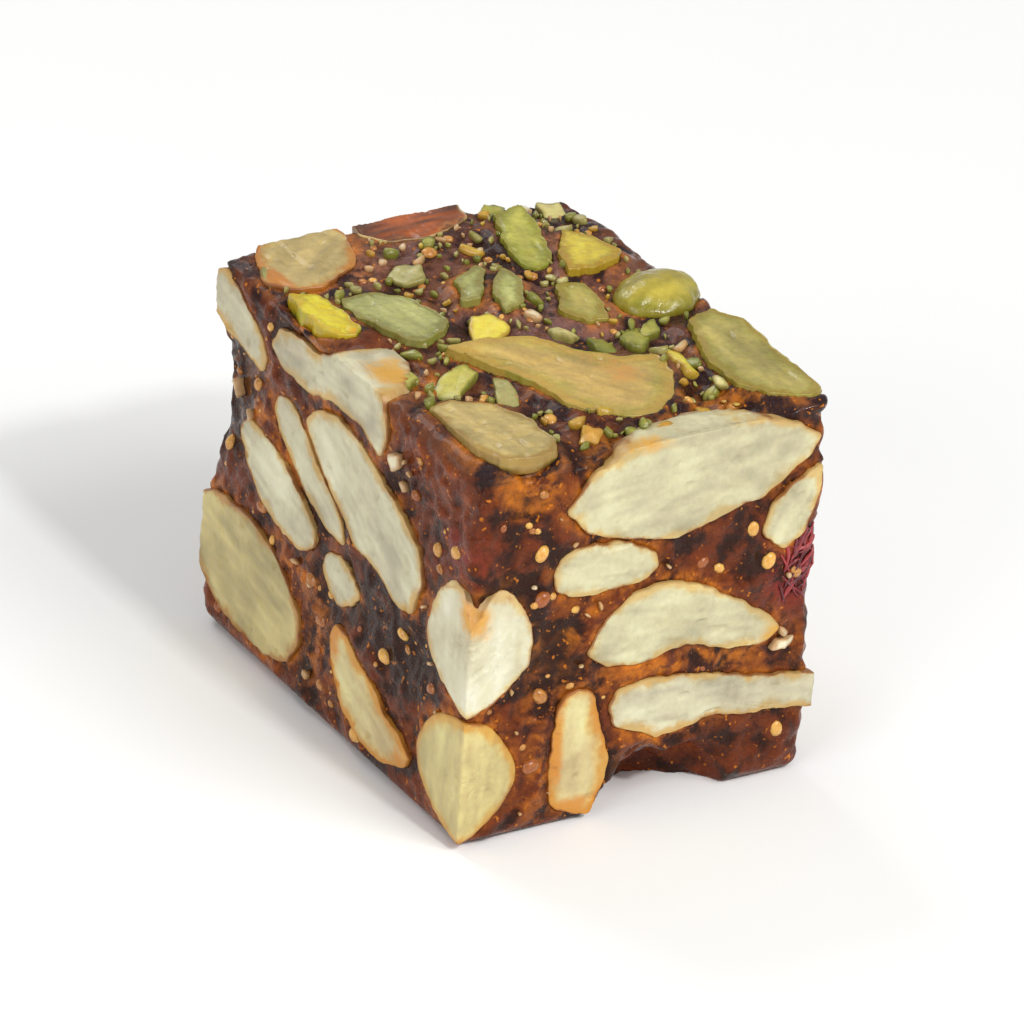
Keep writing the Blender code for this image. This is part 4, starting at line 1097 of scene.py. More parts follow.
AMBER_SPOTS: list[Spot] = [
    Spot("top", 20.2, 3.4, 5.0, 2.4, 1.0),
    Spot("front", 12.5, 12.6, 3.0, 1.6, 0.9),
    Spot("front", 8.6, 15.4, 1.4, 1.6, 0.8),
    Spot("front", 6.4, 6.0, 1.6, 4.8, 0.9),
    Spot("front", 16.5, 10.3, 8.6, 1.2, 1.0),
    Spot("front", 24.0, 23.2, 3.0, 1.0, 0.9),
    Spot("left", 15.6, 6.0, 1.8, 3.2, 0.9),
    Spot("left", 8.4, 19.6, 4.6, 1.8, 0.9),
    Spot("left", 12.4, 10.2, 3.4, 1.6, 0.9),
    Spot("top", 7.0, 30.0, 2.6, 1.6, 0.6),
]

# Darker patches of paste; the one at the foot of the front is a painted shadow of the gap under the block.
DARK_AND_SHADOW_SPOTS: list[Spot] = [
    Spot("front", 3.4, 20.0, 3.0, 4.0, 1.0),
    Spot("front", 6.2, 14.8, 2.4, 2.4, 1.0),
    # Painted shadow at the foot of the front face.
    Spot("front", 15.0, 2.4, 5.5, 2.8, 1.0),
    Spot("front", 24.4, 16.4, 2.2, 1.2, 0.5),
    Spot("left", 26.0, 11.0, 6.0, 2.8, 1.0),
    Spot("left", 18.0, 3.0, 3.0, 2.4, 0.7),
    Spot("top", 7.6, 23.7, 0.9, 0.5, 1.0),
]

# Patches on top where a painted violet-grey sheen lies over the paste's purple-brown.
VIOLET_SHEEN_SPOTS: list[Spot] = [
    Spot("top", 16.0, 17.5, 7.0, 5.0, 0.9),
    Spot("top", 20.0, 25.5, 4.0, 5.0, 0.9),
    Spot("top", 11.0, 30.0, 5.0, 2.4, 0.7),
]


SOAKED_SPOTS: list[Spot] = [
    Spot("front", 0.0, 18.0, 1.3, 2.3, 1.0),
    Spot("front", 8.6, 1.2, 1.8, 1.0, 1.0),
    Spot("front", 7.2, 6.0, 0.6, 3.6, 0.9),
    Spot("front", 24.0, 11.4, 1.4, 0.9, 0.9),
    Spot("front", 12.0, 28.0, 3.0, 0.9, 0.7),
    Spot("left", 21.2, 29.4, 2.2, 1.0, 0.9),
    Spot("left", 18.2, 8.0, 1.0, 2.2, 1.0),
    Spot("left", 27.6, 3.0, 1.2, 1.0, 0.8),
    Spot("top", 2.0, 15.4, 1.6, 2.4, 0.9),
    Spot("top", 1.8, 30.4, 0.8, 2.6, 1.0),
    Spot("top", 15.6, 9.6, 1.6, 2.8, 0.8),
    Spot("top", 20.9, 26.2, 0.7, 1.6, 0.8),
    Spot("top", 2.2, 20.8, 0.8, 0.7, 0.7),
]

ROSE_SPOTS: list[Spot] = [
    Spot("front", 25.4, 16.0, 1.8, 2.6, 1.0),
    Spot("left", 33.4, 21.6, 2.4, 1.8, 0.5),
    Spot("right", 22.0, 12.6, 2.6, 1.6, 0.6),
    Spot("back", 13.4, 24.6, 3.0, 1.6, 0.5),
]


@dataclass
class Grain:
    """One small rounded body laid on the skin: where, how turned, and its three half sizes."""

    face: str
    across: float
    up: float
    turn: float
    half: tuple[float, float, float]
    sink: float
    tone: float
    seed: int = 0


@dataclass
class Scatter:
    """Many small bodies of one kind, joined in one mesh."""

    name: str
    skin: PasteSkin
    rings: int = 5
    sides: int = 8
    rough: float = 0.12
    cell: float = 0.7

    def build(self, grains: list[Grain]) -> bpy.types.Object:
        """Makes the joined mesh.

        Each body is a unit ball, swollen by noise, stretched to its half sizes, turned about
        the skin's normal and moved to its place.

        Args:
            grains: the bodies.

        Returns:
            The new object, with the layer "tone".
        """
        t, phi, quads, caps = ball_grid(self.rings, self.sides)
        ring = np.sqrt(1.0 - t * t)
        ball = np.stack([ring * np.cos(phi), ring * np.sin(phi), t], axis=1)
        points, faces, ends, tones = [], [], [], []
        for number, grain in enumerate(grains):
            place, normal = self.skin.spot(grain.face, grain.across, grain.up)
            swell = 1.0 + self.rough * value_noise(ball * 1.4 + 3.0, self.cell, 900 + grain.seed)
            turn = Vector((0, 0, 1)).rotation_difference(Vector(normal)).to_matrix()
            turn = turn @ Matrix.Rotation(math.radians(grain.turn), 3, "Z")
            shaped = ball * swell[:, None] * np.array(grain.half)
            points.append(shaped @ np.array(turn).T + place + normal * grain.sink)
            faces.append(quads + number * len(ball))
            ends.append(caps + number * len(ball))
            tones.append(np.full(len(ball), grain.tone))
        layers = {"tone": np.concatenate(tones)}
        mesher = Mesher(self.name)
        return mesher.make(np.concatenate(points), np.concatenate(faces), np.concatenate(ends), layers)


class Shade:
    """A number in a material's nodes, so that sums are written as Python writes them."""

    def __init__(self, tree: "Tree", socket: bpy.types.NodeSocket) -> None:
        """Keeps the node tree and the socket that carries the number."""
        self.tree = tree
        self.socket = socket

    def maths(self, operation: str, *others: "Shade | float") -> "Shade":
        """Adds one Math node with this number first."""
        values = {0: self.socket}
        values.update({i + 1: getattr(other, "socket", other) for i, other in enumerate(others)})
        node = self.tree.node("ShaderNodeMath", {"operation": operation}, values)
        return Shade(self.tree, node.outputs[0])

    def __add__(self, other: "Shade | float") -> "Shade":
        """Sum."""
        return self.maths("ADD", other)

    __radd__ = __add__

    def __mul__(self, other: "Shade | float") -> "Shade":
        """Product."""
        return self.maths("MULTIPLY", other)

    __rmul__ = __mul__

    def __sub__(self, other: "Shade | float") -> "Shade":
        """Difference."""
        return self.maths("SUBTRACT", other)

    def __rsub__(self, other: float) -> "Shade":
        """Difference from a number."""
        return self.maths("MULTIPLY", -1.0) + other

    def larger(self, other: "Shade | float") -> "Shade":
        """The greater of two."""
        return self.maths("MAXIMUM", other)

    def between(self, low: float, high: float, start: float = 0.0, end: float = 1.0) -> "Shade":
        """Goes smoothly from start at low to end at high."""
        settings = {"interpolation_type": "SMOOTHSTEP"}
        values = {"Value": self.socket, "From Min": low, "From Max": high, "To Min": start, "To Max": end}
        return Shade(self.tree, self.tree.node("ShaderNodeMapRange", settings, values).outputs[0])


@dataclass
class Tree:
    """A material's node tree with the few helpers that the finishes share."""

    name: str
    material: bpy.types.Material = field(init=False)
    nodes: Any = field(init=False)
    links: Any = field(init=False)
    place: Any = field(init=False)

    def __post_init__(self) -> None:
        """Makes the empty material and its Object coordinates."""
        self.material = bpy.data.materials.new(self.name)
        self.material.use_nodes = True
        self.nodes = self.material.node_tree.nodes
        self.links = self.material.node_tree.links
        self.nodes.clear()
        self.place = self.node("ShaderNodeTexCoord", {}, {}).outputs["Object"]

    def node(self, kind: str, settings: dict[str, Any], values: dict[Any, Any]) -> Any:
        """Adds a node.

        Args:
            kind: the node's type.
            settings: its own properties, set first.
            values: numbers, colours or links for its sockets, by name or place.

        Returns:
            The node.
        """
        node = self.nodes.new(kind)
        for key, value in settings.items():
            setattr(node, key, value)
        for key, value in values.items():
            value = getattr(value, "socket", value)
            if isinstance(value, bpy.types.NodeSocket):
                self.links.new(value, node.inputs[key])
            else:
                node.inputs[key].default_value = value
        return node

    def layer(self, name: str) -> Shade:
        """A number kept on the mesh's points."""
        node = self.node("ShaderNodeAttribute", {"attribute_name": name}, {})
        return Shade(self, node.outputs["Fac"])

    def noise(
        self, size: float, detail: float = 3.0, stretch: Sequence[float] = (1, 1, 1), swirl: float = 0.0
    ) -> Shade:
        """Soft noise, 0 to 1, whose blobs are about this many millimetres wide."""
        place = self.place
        if tuple(stretch) != (1, 1, 1):
            place = self.node("ShaderNodeMapping", {}, {"Vector": place, "Scale": tuple(stretch)}).outputs[0]
        values = {"Vector": place, "Scale": 1000.0 / size, "Detail": detail, "Roughness": 0.55}
        values["Distortion"] = swirl
        return Shade(self, self.node("ShaderNodeTexNoise", {}, values).outputs["Fac"])

    def mixed(self, share: Shade | float, first: Any, second: Any) -> Any:
        """A blend of two colours."""
        settings = {"data_type": "RGBA", "blend_type": "MIX", "clamp_factor": True}
        values = {0: share, 6: first, 7: second}
        return self.node("ShaderNodeMix", settings, values).outputs[2]

    def scaled(self, colour: Any, shade: Shade, amount: float) -> Any:
        """A colour made lighter or darker by a shade around a half."""
        grey = self.node("ShaderNodeCombineColor", {}, {0: shade, 1: shade, 2: shade}).outputs[0]
        settings = {"data_type": "RGBA", "blend_type": "OVERLAY", "clamp_factor": True}
        return self.node("ShaderNodeMix", settings, {0: amount, 6: colour, 7: grey}).outputs[2]

    def finish(
        self, colour: Any, roughness: Shade | float, height: Shade | None, lift: float, **constants: Any
    ) -> bpy.types.Material:
        """Closes the material with one shader.

        Args:
            colour: the base colour.
            roughness: the roughness.
            height: bump height, 0 to 1, or None.
            lift: how high the bump is, in millimetres.
            constants: other sockets of the shader that stay the same all over.

        Returns:
            The material.
        """
        values: dict[Any, Any] = {"Base Color": colour, "Roughness": roughness}
        if height is not None:
            bump_values = {"Height": height, "Distance": lift * MM, "Strength": 1.0}
            values["Normal"] = self.node("ShaderNodeBump", {}, bump_values).outputs[0]
        shader = self.node("ShaderNodeBsdfPrincipled", {}, values)
        for key, value in constants.items():
            shader.inputs[key.replace("_", " ")].default_value = value
        self.node("ShaderNodeOutputMaterial", {}, {"Surface": shader.outputs[0]})
        return self.material


@dataclass(frozen=True)
class Flesh:
    """The finish of a nut's flesh: colours within, at the rim, of stains and of its skin."""

    centre: tuple[int, int, int]
    rim: tuple[int, int, int]
    stain: tuple[int, int, int]
    skin: tuple[int, int, int] = (170, 118, 62)
    stained: float = 0.5
    rim_width: float = 0.9
    gloss: float = 0.5
    streaky: float = 0.22

    def make(self, name: str) -> bpy.types.Material:
        """The material: centre to rim by depth from the outline, syrup stains, streaks, skin."""
        tree = Tree(name)
        inner = tree.layer("inner")
        wall = tree.layer("wall")
        soaked = tree.layer("soaked")
        streak = tree.layer("streak")
        fine = tree.noise(0.45, 4.0)
        patch = tree.noise(2.6, 2.0)
        broad = tree.noise(5.0, 2.0, swirl=0.6)
        edge = (inner + (fine - 0.5) * 0.7 + (patch - 0.5) * 2.4).between(self.rim_width, 0.0)
        colour = tree.mixed(edge * 0.8, srgb(*self.centre), srgb(*self.rim))
        colour = tree.scaled(colour, broad, 0.55)
        colour = tree.scaled(colour, streak, self.streaky)
        colour = tree.scaled(colour, fine, 0.2)
        soak = (edge * 0.9 + patch * 1.2 + broad * 0.6).between(1.25, 1.85) * self.stained
        soak = soak.larger((soaked * 1.3 + (fine - 0.5) * 0.8 + (patch - 0.5)).between(0.3, 1.1) * 0.85)
        colour = tree.mixed(soak, colour, srgb(*self.stain))
        there = patch.between(0.46, 0.6)
        line = (inner + (fine - 0.5) * 0.3).between(0.2, 0.02) * there * 0.75
        side = wall * there.between(0.0, 1.0, 0.25, 0.9)
        colour = tree.mixed(line.larger(side), colour, srgb(*self.skin))
        rough = fine.between(0.3, 0.7, self.gloss - 0.1, self.gloss + 0.1)
        height = tree.noise(0.2, 3.0) * 0.6 + fine * 0.5
        constants = {"Subsurface_Weight": 0.14, "Subsurface_Scale": 0.001, "Coat_Weight": 0.15}
        constants["Subsurface_Radius"] = (1.0, 0.75, 0.4)
        constants["Coat_Roughness"] = 0.25
        return tree.finish(colour, rough, height, 0.06, **constants)


LOOKS: dict[Finish, Flesh] = {
    Finish.WHITE: Flesh((206, 199, 168), (200, 180, 122), (210, 146, 14), (160, 98, 40), 0.3, 0.8),
    Finish.CREAM: Flesh((192, 185, 148), (188, 166, 108), (206, 148, 24), (142, 86, 34), 0.35, 0.8),
    Finish.GREY_CREAM: Flesh((194, 187, 156), (182, 160, 108), (206, 148, 18), (138, 84, 34), 0.5),
    Finish.STAINED: Flesh((204, 188, 134), (200, 156, 58), (200, 126, 16), (146, 84, 30), 0.9, 1.3),
    Finish.YELLOWED: Flesh((192, 176, 118), (188, 152, 72), (202, 138, 20), (160, 98, 38), 0.6, 1.2),
    Finish.KHAKI_NUT: Flesh((184, 168, 112), (172, 140, 72), (170, 110, 40), (136, 80, 34), 0.7),
    Finish.TAN: Flesh((176, 154, 98), (172, 128, 58), (186, 112, 34), (134, 80, 34), 0.8, gloss=0.42),
    Finish.SKIN: Flesh((140, 72, 32), (176, 122, 62), (88, 40, 18), (206, 178, 118), 0.9, 0.5, 0.38, 0.75),
    Finish.LARGE: Flesh((182, 152, 84), (146, 144, 52), (194, 136, 64), (148, 138, 50), 0.5, 2.2, 0.34),
    Finish.BEIGE: Flesh((178, 156, 96), (150, 128, 60), (154, 108, 42), (142, 120, 54), 0.5, gloss=0.38),
    Finish.OLIVE: Flesh((166, 152, 82), (134, 130, 42), (152, 110, 38), (148, 136, 46), 0.5, 1.4, 0.34),
    Finish.GLOSSY: Flesh((168, 152, 58), (108, 112, 22), (148, 112, 34), (100, 104, 22), 0.3, 1.8, 0.22),
    Finish.KHAKI: Flesh((166, 152, 76), (128, 128, 38), (152, 112, 40), (138, 130, 42), 0.5, 1.2, 0.36),
    Finish.MUSTARD: Flesh((192, 170, 54), (158, 142, 30), (168, 112, 28), (156, 140, 34), 0.6, 1.1, 0.34),
    Finish.LEAF: Flesh((174, 168, 74), (122, 130, 34), (150, 122, 40), (134, 138, 42), 0.4, 1.0, 0.34),
    Finish.GREY_GREEN: Flesh((164, 162, 98), (114, 122, 50), (142, 114, 54), (130, 132, 54), 0.5, 1.1, 0.36),
    Finish.BRIGHT: Flesh((212, 194, 48), (164, 160, 32), (210, 136, 26), (164, 158, 36), 0.4, 0.9, 0.32),
}


@dataclass(frozen=True)
class PasteFinish:
    """Dark sticky fig paste: near black to red-brown, amber where it is thin, purple-brown on top with a
    painted violet-grey sheen.
    """

    black: tuple[int, int, int] = (46, 20, 10)
    brown: tuple[int, int, int] = (100, 43, 15)
    rust: tuple[int, int, int] = (144, 68, 22)
    amber: tuple[int, int, int] = (206, 120, 28)
    pit: tuple[int, int, int] = (44, 27, 29)
    # The violet-grey of the painted sheen on top.
    violet_sheen: tuple[int, int, int] = (120, 94, 96)
    crown: tuple[int, int, int] = (100, 58, 38)
    rose: tuple[int, int, int] = (138, 42, 48)

    def make(self, name: str) -> bpy.types.Material:
        """The material: noise and height choose from black to rust, low height painting shade into hollows;
        layers add the rest.
        """
        tree = Tree(name)
        broad = tree.noise(5.0, 2.0, swirl=0.4)
        mid = tree.noise(1.5, 5.0, swirl=0.3)
        fine = tree.noise(0.5, 4.0)
        fleck = tree.noise(0.42, 1.0)
        height = tree.layer("height")
        # Painted shade: low relief lowers the level, so hollows take the darker colours on top of the
        # paste's random tone; the dark patches lower it too, one of them a painted shadow.
        level = broad * 0.6 + mid * 0.8 + height * 0.3 - tree.layer("dark") * 0.26
        colour = tree.mixed(level.between(0.50, 0.70), srgb(*self.black), srgb(*self.brown))
        colour = tree.mixed(level.between(0.70, 0.96) * 0.9, colour, srgb(*self.rust))
        above = tree.mixed(level.between(0.56, 0.74), srgb(*self.pit), srgb(*self.crown))
        # Painted sheen: the lit top's greyish reflection is laid on as violet-grey over the purple-brown
        # paste.
        violet_sheen = tree.layer("violet_sheen") * mid.between(0.42, 0.6) * 0.8
        above = tree.mixed(violet_sheen, above, srgb(*self.violet_sheen))
        colour = tree.mixed(tree.layer("crown") * broad.between(0.34, 0.54, 0.35, 1.0), colour, above)
        rose = tree.layer("rose") * mid.between(0.42, 0.56) * 0.85
        colour = tree.mixed(rose, colour, srgb(*self.rose))
        halo = tree.layer("halo") * broad.between(0.4, 0.62) * mid.between(0.38, 0.62)
        pool = tree.layer("amber") * mid.between(0.42, 0.66)
        colour = tree.mixed(pool.larger(halo) * 0.8, colour, srgb(*self.amber))
        colour = tree.mixed(fleck.between(0.66, 0.76) * 0.75, colour, srgb(*self.amber))
        colour = tree.scaled(colour, fine, 0.5)
        rough = fine.between(0.3, 0.7, 0.14, 0.4)
        bumps = tree.noise(0.28, 4.0) * 0.5 + fine * 0.7 + mid * 0.6
        constants = {"Coat_Weight": 0.3, "Coat_Roughness": 0.06, "Subsurface_Weight": 0.06}
        constants |= {"Subsurface_Scale": 0.0006, "Specular_IOR_Level": 0.1, "Coat_IOR": 1.3}
        return tree.finish(colour, rough, bumps, 0.24, **constants)


@dataclass(frozen=True)
class GrainFinish:
    """Small bodies whose colour goes from one to another by the tone kept on them."""

    low: tuple[int, int, int]
    high: tuple[int, int, int]
    gloss: float = 0.3

    def make(self, name: str) -> bpy.types.Material:
        """The material: tone chooses the colour, fine noise mottles it."""
        tree = Tree(name)
        fine = tree.noise(0.35, 3.0)
        share = tree.layer("tone") + (fine - 0.5) * 0.5
        colour = tree.mixed(share.between(0.0, 1.0), srgb(*self.low), srgb(*self.high))
        colour = tree.scaled(colour, fine, 0.4)
        rough = fine.between(0.3, 0.7, self.gloss, self.gloss + 0.15)
        constants = {"Coat_Weight": 0.2, "Subsurface_Weight": 0.1, "Subsurface_Scale": 0.0006}
        return tree.finish(colour, rough, tree.noise(0.2, 3.0), 0.03, **constants)


@dataclass(frozen=True)
class ShardFinish:
    """Broken nut: its tone goes from one colour to another, with a darker skin at the rim."""

    low: tuple[int, int, int]
    high: tuple[int, int, int]
    rim: tuple[int, int, int]
    gloss: float = 0.36

    def make(self, name: str) -> bpy.types.Material:
        """The material: tone chooses the flesh, depth from the rim blends the skin in."""
        tree = Tree(name)
        fine = tree.noise(0.4, 3.0)
        patch = tree.noise(1.3, 2.0)
        share = tree.layer("tone") + (patch - 0.5) * 0.9
        colour = tree.mixed(share.between(0.0, 1.0), srgb(*self.low), srgb(*self.high))
        edge = (tree.layer("inner") + (patch - 0.5) * 0.8).between(0.42, 0.0)
        colour = tree.mixed(edge * 0.8, colour, srgb(*self.rim))
        colour = tree.scaled(colour, fine, 0.3)
        rough = fine.between(0.3, 0.7, self.gloss - 0.08, self.gloss + 0.12)
        constants = {"Coat_Weight": 0.2, "Subsurface_Weight": 0.15, "Subsurface_Scale": 0.0008}
        return tree.finish(colour, rough, tree.noise(0.2, 3.0), 0.04, **constants)


@dataclass
class FigHalwa:
    """The whole block, built piece by piece."""

    nuts: list[Nut] = field(default_factory=list)
    toppings: "Toppings" = field(init=False)

    def number_nuts(self) -> None:
        """Gives each nut the noise of its solid, and each almond how far it stands proud."""
        draw = random.Random(DRAW_SEED)
        self.toppings = Toppings(draw)
        self.toppings.place()
        for number, nut in enumerate(ALMONDS):
            nut.seed = 100 + number
            nut.proud = draw.uniform(-0.08, 0.22)
            if nut.face == "under":
                nut.proud = -UNDER_SETBACK
            nut.chewed = 2.2 if nut.name == "almond_edge_upper" else 1.0
        for number, nut in enumerate(SLICES):
            nut.seed = 200 + number
        self.nuts = ALMONDS + SLICES
        lenders = {nut.name: nut for nut in self.nuts}
        for nut in self.nuts:
            nut.draw_rim(lenders)

    def build(self) -> None:
        """Builds and dresses every piece."""
        self.number_nuts()
        skin = PasteSkin(self.nuts)
        paste = skin.build()
        paste.data.materials.append(PasteFinish().make("fig_paste_sticky"))
        self.settle(paste, "fig_paste")
        for nut in self.nuts:
            seen = nut.face in ("front", "left", "top")
            if nut.whole():
                body = NutBody(nut).build()
            else:
                body = CutBody(nut, 168 if seen else 120, 34 if seen else 24).build()
            look = LOOKS[nut.finish]
            body.data.materials.append(look.make(nut.name + "_finish"))
            self.settle(body, nut.name)
        for piece, slot in self.toppings.build(skin):
            self.settle(piece, "fig_paste")

    def settle(self, piece: bpy.types.Object, node: str) -> None:
        """Ties a piece to the block and hides the node that it stands for."""
        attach(piece, "root")
        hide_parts(node)
        LOG.info("%s: %d faces, for %s", piece.name, len(piece.data.polygons), node)


@dataclass(frozen=True)
class Chip:
    """A small flat fragment stuck to the paste, with its corners where they are known."""

    face: str
    across: float
    up: float
    length: float
    width: float
    tilt: float
    kind: str = "cream"
    tone: float = 0.5
    corners: tuple[tuple[float, float], ...] = ()
    thick: float = 0.55


CHIPS: list[Chip] = [
    Chip("front", 24.7, 10.35, 2.6, 1.3, 20, "cream", 0.9),
    Chip("left", 2.7, 19.0, 3.2, 1.7, 50, "cream", 0.8),
    Chip("left", 24.7, 24.4, 2.4, 1.4, 60, "cream", 0.9),
    Chip("top", 20.8, 9.2, 3.2, 1.2, 80, "yellow", 0.8,
         ((20.9, 9.2), (22.2, 8.6), (22.6, 10.4), (22.9, 12.6), (21.8, 13.4), (21.2, 11.4))),
    Chip("top", 11.2, 18.5, 3.2, 2.0, 20, "yellow", 1.0,
         ((10.8, 18.5), (12.5, 18.0), (13.8, 19.0), (13.5, 20.5), (11.8, 21.2), (11.0, 19.7))),
    Chip("top", 15.6, 16.0, 2.6, 2.0, 0, "pale", 0.9,
         ((15.0, 16.8), (16.0, 16.0), (17.3, 16.8), (16.7, 18.1), (15.3, 18.2))),
    Chip("top", 20.0, 13.6, 3.6, 1.6, 62, "green", 0.4,
         ((19.5, 14.4), (20.4, 14.0), (21.6, 15.4), (22.9, 17.4), (21.6, 18.2), (20.2, 16.7))),
    Chip("top", 10.0, 27.2, 3.0, 2.0, 10, "pale", 0.2,
         ((9.0, 28.0), (9.5, 26.5), (11.0, 26.2), (11.9, 28.0), (10.2, 29.0))),
    Chip("top", 5.4, 12.6, 2.8, 1.8, 30, "green", 0.9,
         ((4.8, 12.3), (6.0, 10.6), (6.8, 11.5), (8.8, 12.5), (8.5, 13.9), (6.5, 13.6))),
    Chip("top", 7.6, 9.8, 2.8, 1.6, 70, "pale", 0.1,
         ((8.0, 9.2), (9.0, 8.4), (9.8, 9.6), (10.0, 11.6), (9.2, 12.2))),
    Chip("top", 17.2, 13.4, 2.6, 1.6, 110, "green", 0.1,
         ((7.6, 15.3), (8.6, 14.2), (9.5, 15.2), (9.0, 16.9), (8.0, 17.2))),
    Chip("top", 9.8, 2.8, 2.8, 1.8, 15, "yellow", 0.1),
    Chip("top", 25.0, 33.2, 3.4, 1.9, 80, "pale", 0.9,
         ((24.4, 32.8), (26.0, 33.1), (26.4, 34.8), (24.4, 34.9))),
    Chip("top", 20.8, 34.4, 2.6, 1.5, 10, "green", 0.6),
    Chip("top", 1.4, 31.6, 3.4, 1.6, 70, "pale", 0.2),
    Chip("top", 16.0, 28.9, 2.2, 1.4, 150, "yellow", 0.4),
    Chip("top", 3.0, 14.8, 2.4, 1.5, 40, "green", 0.6),
    Chip("top", 25.6, 30.4, 2.2, 1.4, 120, "pale", 0.5),
]

SEEDS_SEEN: list[tuple[str, float, float]] = [
    ("front", 4.2, 26.4),
    ("front", 1.7, 24.6),
    ("front", 17.9, 17.9),
    ("front", 5.5, 13.2),
    ("front", 5.9, 10.3),
    ("front", 21.6, 19.7),
    ("front", 5.2, 5.4),
    ("left", 5.9, 20.9),
    ("left", 26.6, 12.0),
    ("left", 15.8, 7.6),
    ("left", 2.2, 14.6),
]


@dataclass(frozen=True)
class Outline:
    """A rough outline on a face that small toppings keep clear of."""

    across: float
    up: float
    length: float
    width: float
    tilt: float

    def holds(self, across: float, up: float, margin: float) -> bool:
        """Whether a place lies within the outline grown by the margin."""
        angle = math.radians(self.tilt)
        du, dv = across - self.across, up - self.up
        along = du * math.cos(angle) + dv * math.sin(angle)
        side = dv * math.cos(angle) - du * math.sin(angle)
        reach = (along / (self.length / 2 + margin)) ** 2
        return reach + (side / (self.width / 2 + margin)) ** 2 < 1.0


EDGE_OUTLINES: dict[str, list[Outline]] = {
    "front": [],
    "top": [Outline(1.0, 19.9, 15.4, 5.0, 90)],
    "left": [Outline(DEPTH, 14.75, 9.1, 12.2, 90), Outline(DEPTH, 5.15, 9.1, 11.6, 90)],
    "right": [Outline(0.0, 7.0, 8.0, 5.0, 0)],
    "back": [
        Outline(13.0, HEIGHT, 11.0, 8.0, 0),
        Outline(21.6, HEIGHT, 10.0, 6.0, 0),
        Outline(WIDTH, 25.0, 6.0, 4.8, 0),
        Outline(WIDTH, 7.0, 9.0, 8.5, 0),
    ],
}


def lie_of(face: str, normal: np.ndarray) -> np.ndarray:
    """Axes as rows for a piece that lies on a slope: along the face, across it and out."""
    first = np.array(FACES[face].first, float)
    first = first - normal * float(first @ normal)
    first /= np.linalg.norm(first)
    return np.stack([first, np.cross(normal, first), normal])


@dataclass
class Shards:
    """Flat angular fragments of one kind, joined in one mesh."""

    name: str
    skin: PasteSkin
    count: int = 40

    def corners(self, chip: Chip, number: int) -> np.ndarray:
        """The fragment's corners about its middle, drawn at random where none are given."""
        if chip.corners:
            return np.array(chip.corners) - np.mean(chip.corners, axis=0)
        draw = np.random.default_rng(700 + number)
        sides = int(draw.integers(4, 7))
        angle = (np.arange(sides) + draw.uniform(-0.32, 0.32, sides)) * 2 * np.pi / sides
        reach = draw.uniform(0.72, 1.1, sides) / 2
        shape = np.stack([np.cos(angle) * chip.length, np.sin(angle) * chip.width], axis=1)
        turn = math.radians(chip.tilt)
        spin = np.array([[math.cos(turn), math.sin(turn)], [-math.sin(turn), math.cos(turn)]])
        return (shape * reach[:, None]) @ spin

    def shell(self, chip: Chip, number: int) -> Shell:
        """One fragment.

        Rings of its outline go from the middle of its top, which leans and is uneven, over a
        sharp rim and down a wall that runs in a little under the skin.

        Args:
            chip: the fragment.
            number: which noise.

        Returns:
            The surface, with the layers "tone" and "inner".
        """
        corners = self.corners(chip, number)
        share = np.array([0.3, 0.6, 0.84, 0.96, 1.0, 1.02, 0.97, 0.8])
        level = np.array([1.0, 1.0, 1.0, 0.98, 0.84, 0.5, 0.0, -0.5])
        count = self.count
        if not chip.corners and chip.length < SMALL_CRUMB:
            share, level, count = share[[1, 3, 5, 7]], level[[1, 3, 5, 7]], CRUMB_SIDES
        curve = spaced(corners, count)
        curve = (np.roll(curve, 1, axis=0) + 2 * curve + np.roll(curve, -1, axis=0)) / 4
        size = float(np.mean(np.linalg.norm(curve, axis=1)))
        seed = np.column_stack([curve, np.full(count, float(number))])
        curve = curve * (1.0 + 0.14 * value_noise(seed / size, 0.5, 801))[:, None]
        flat = (share[:, None, None] * curve[None]).reshape(-1, 2)
        flat = np.concatenate([[[0.0, 0.0]], flat, [[0.0, 0.0]]])
        level = np.concatenate([[1.0], np.repeat(level, count), [-0.5]])
        place = np.column_stack([flat, np.full(len(flat), 1.7 * number)])
        draw = np.random.default_rng(900 + number)
        lean = flat @ draw.uniform(-0.16, 0.16, 2)
        ridge = -draw.uniform(0.0, 0.25) * np.abs(flat @ draw.uniform(-1.0, 1.0, 2))
        uneven = noises(place, (0.1, 0.8, 802), (0.04, 0.35, 803))
        height = level * chip.thick + np.clip(level, 0.0, 1.0) * (lean + ridge + uneven)
        spot, normal = self.skin.spot(chip.face, chip.across, chip.up)
        points = spot + np.column_stack([flat, height]) @ lie_of(chip.face, normal)
        quads, caps = capped(len(share), count)
        rings = np.concatenate([[0.0], np.repeat(share, count), [1.0]])
        layers = {"tone": np.full(len(points), chip.tone), "inner": np.clip(1.0 - rings, 0.0, 1.0) * size}
        return Shell(points, quads[:, [0, 3, 2, 1]], caps[:, [0, 2, 1]], layers)

    def build(self, chips: list[Chip]) -> bpy.types.Object:
        """Makes the joined mesh of these fragments."""
        whole = joined([self.shell(chip, number) for number, chip in enumerate(chips)])
        return Mesher(self.name).make(whole.points, whole.quads, whole.triangles, whole.layers)


FIBRE_AREAS: list[tuple[str, float, float, float, float, int]] = [
    ("front", 25.4, 15.6, 1.1, 2.4, 40),
    ("right", 22.0, 13.0, 1.4, 0.9, 12),
    ("back", 13.4, 24.6, 1.6, 0.8, 10),
]


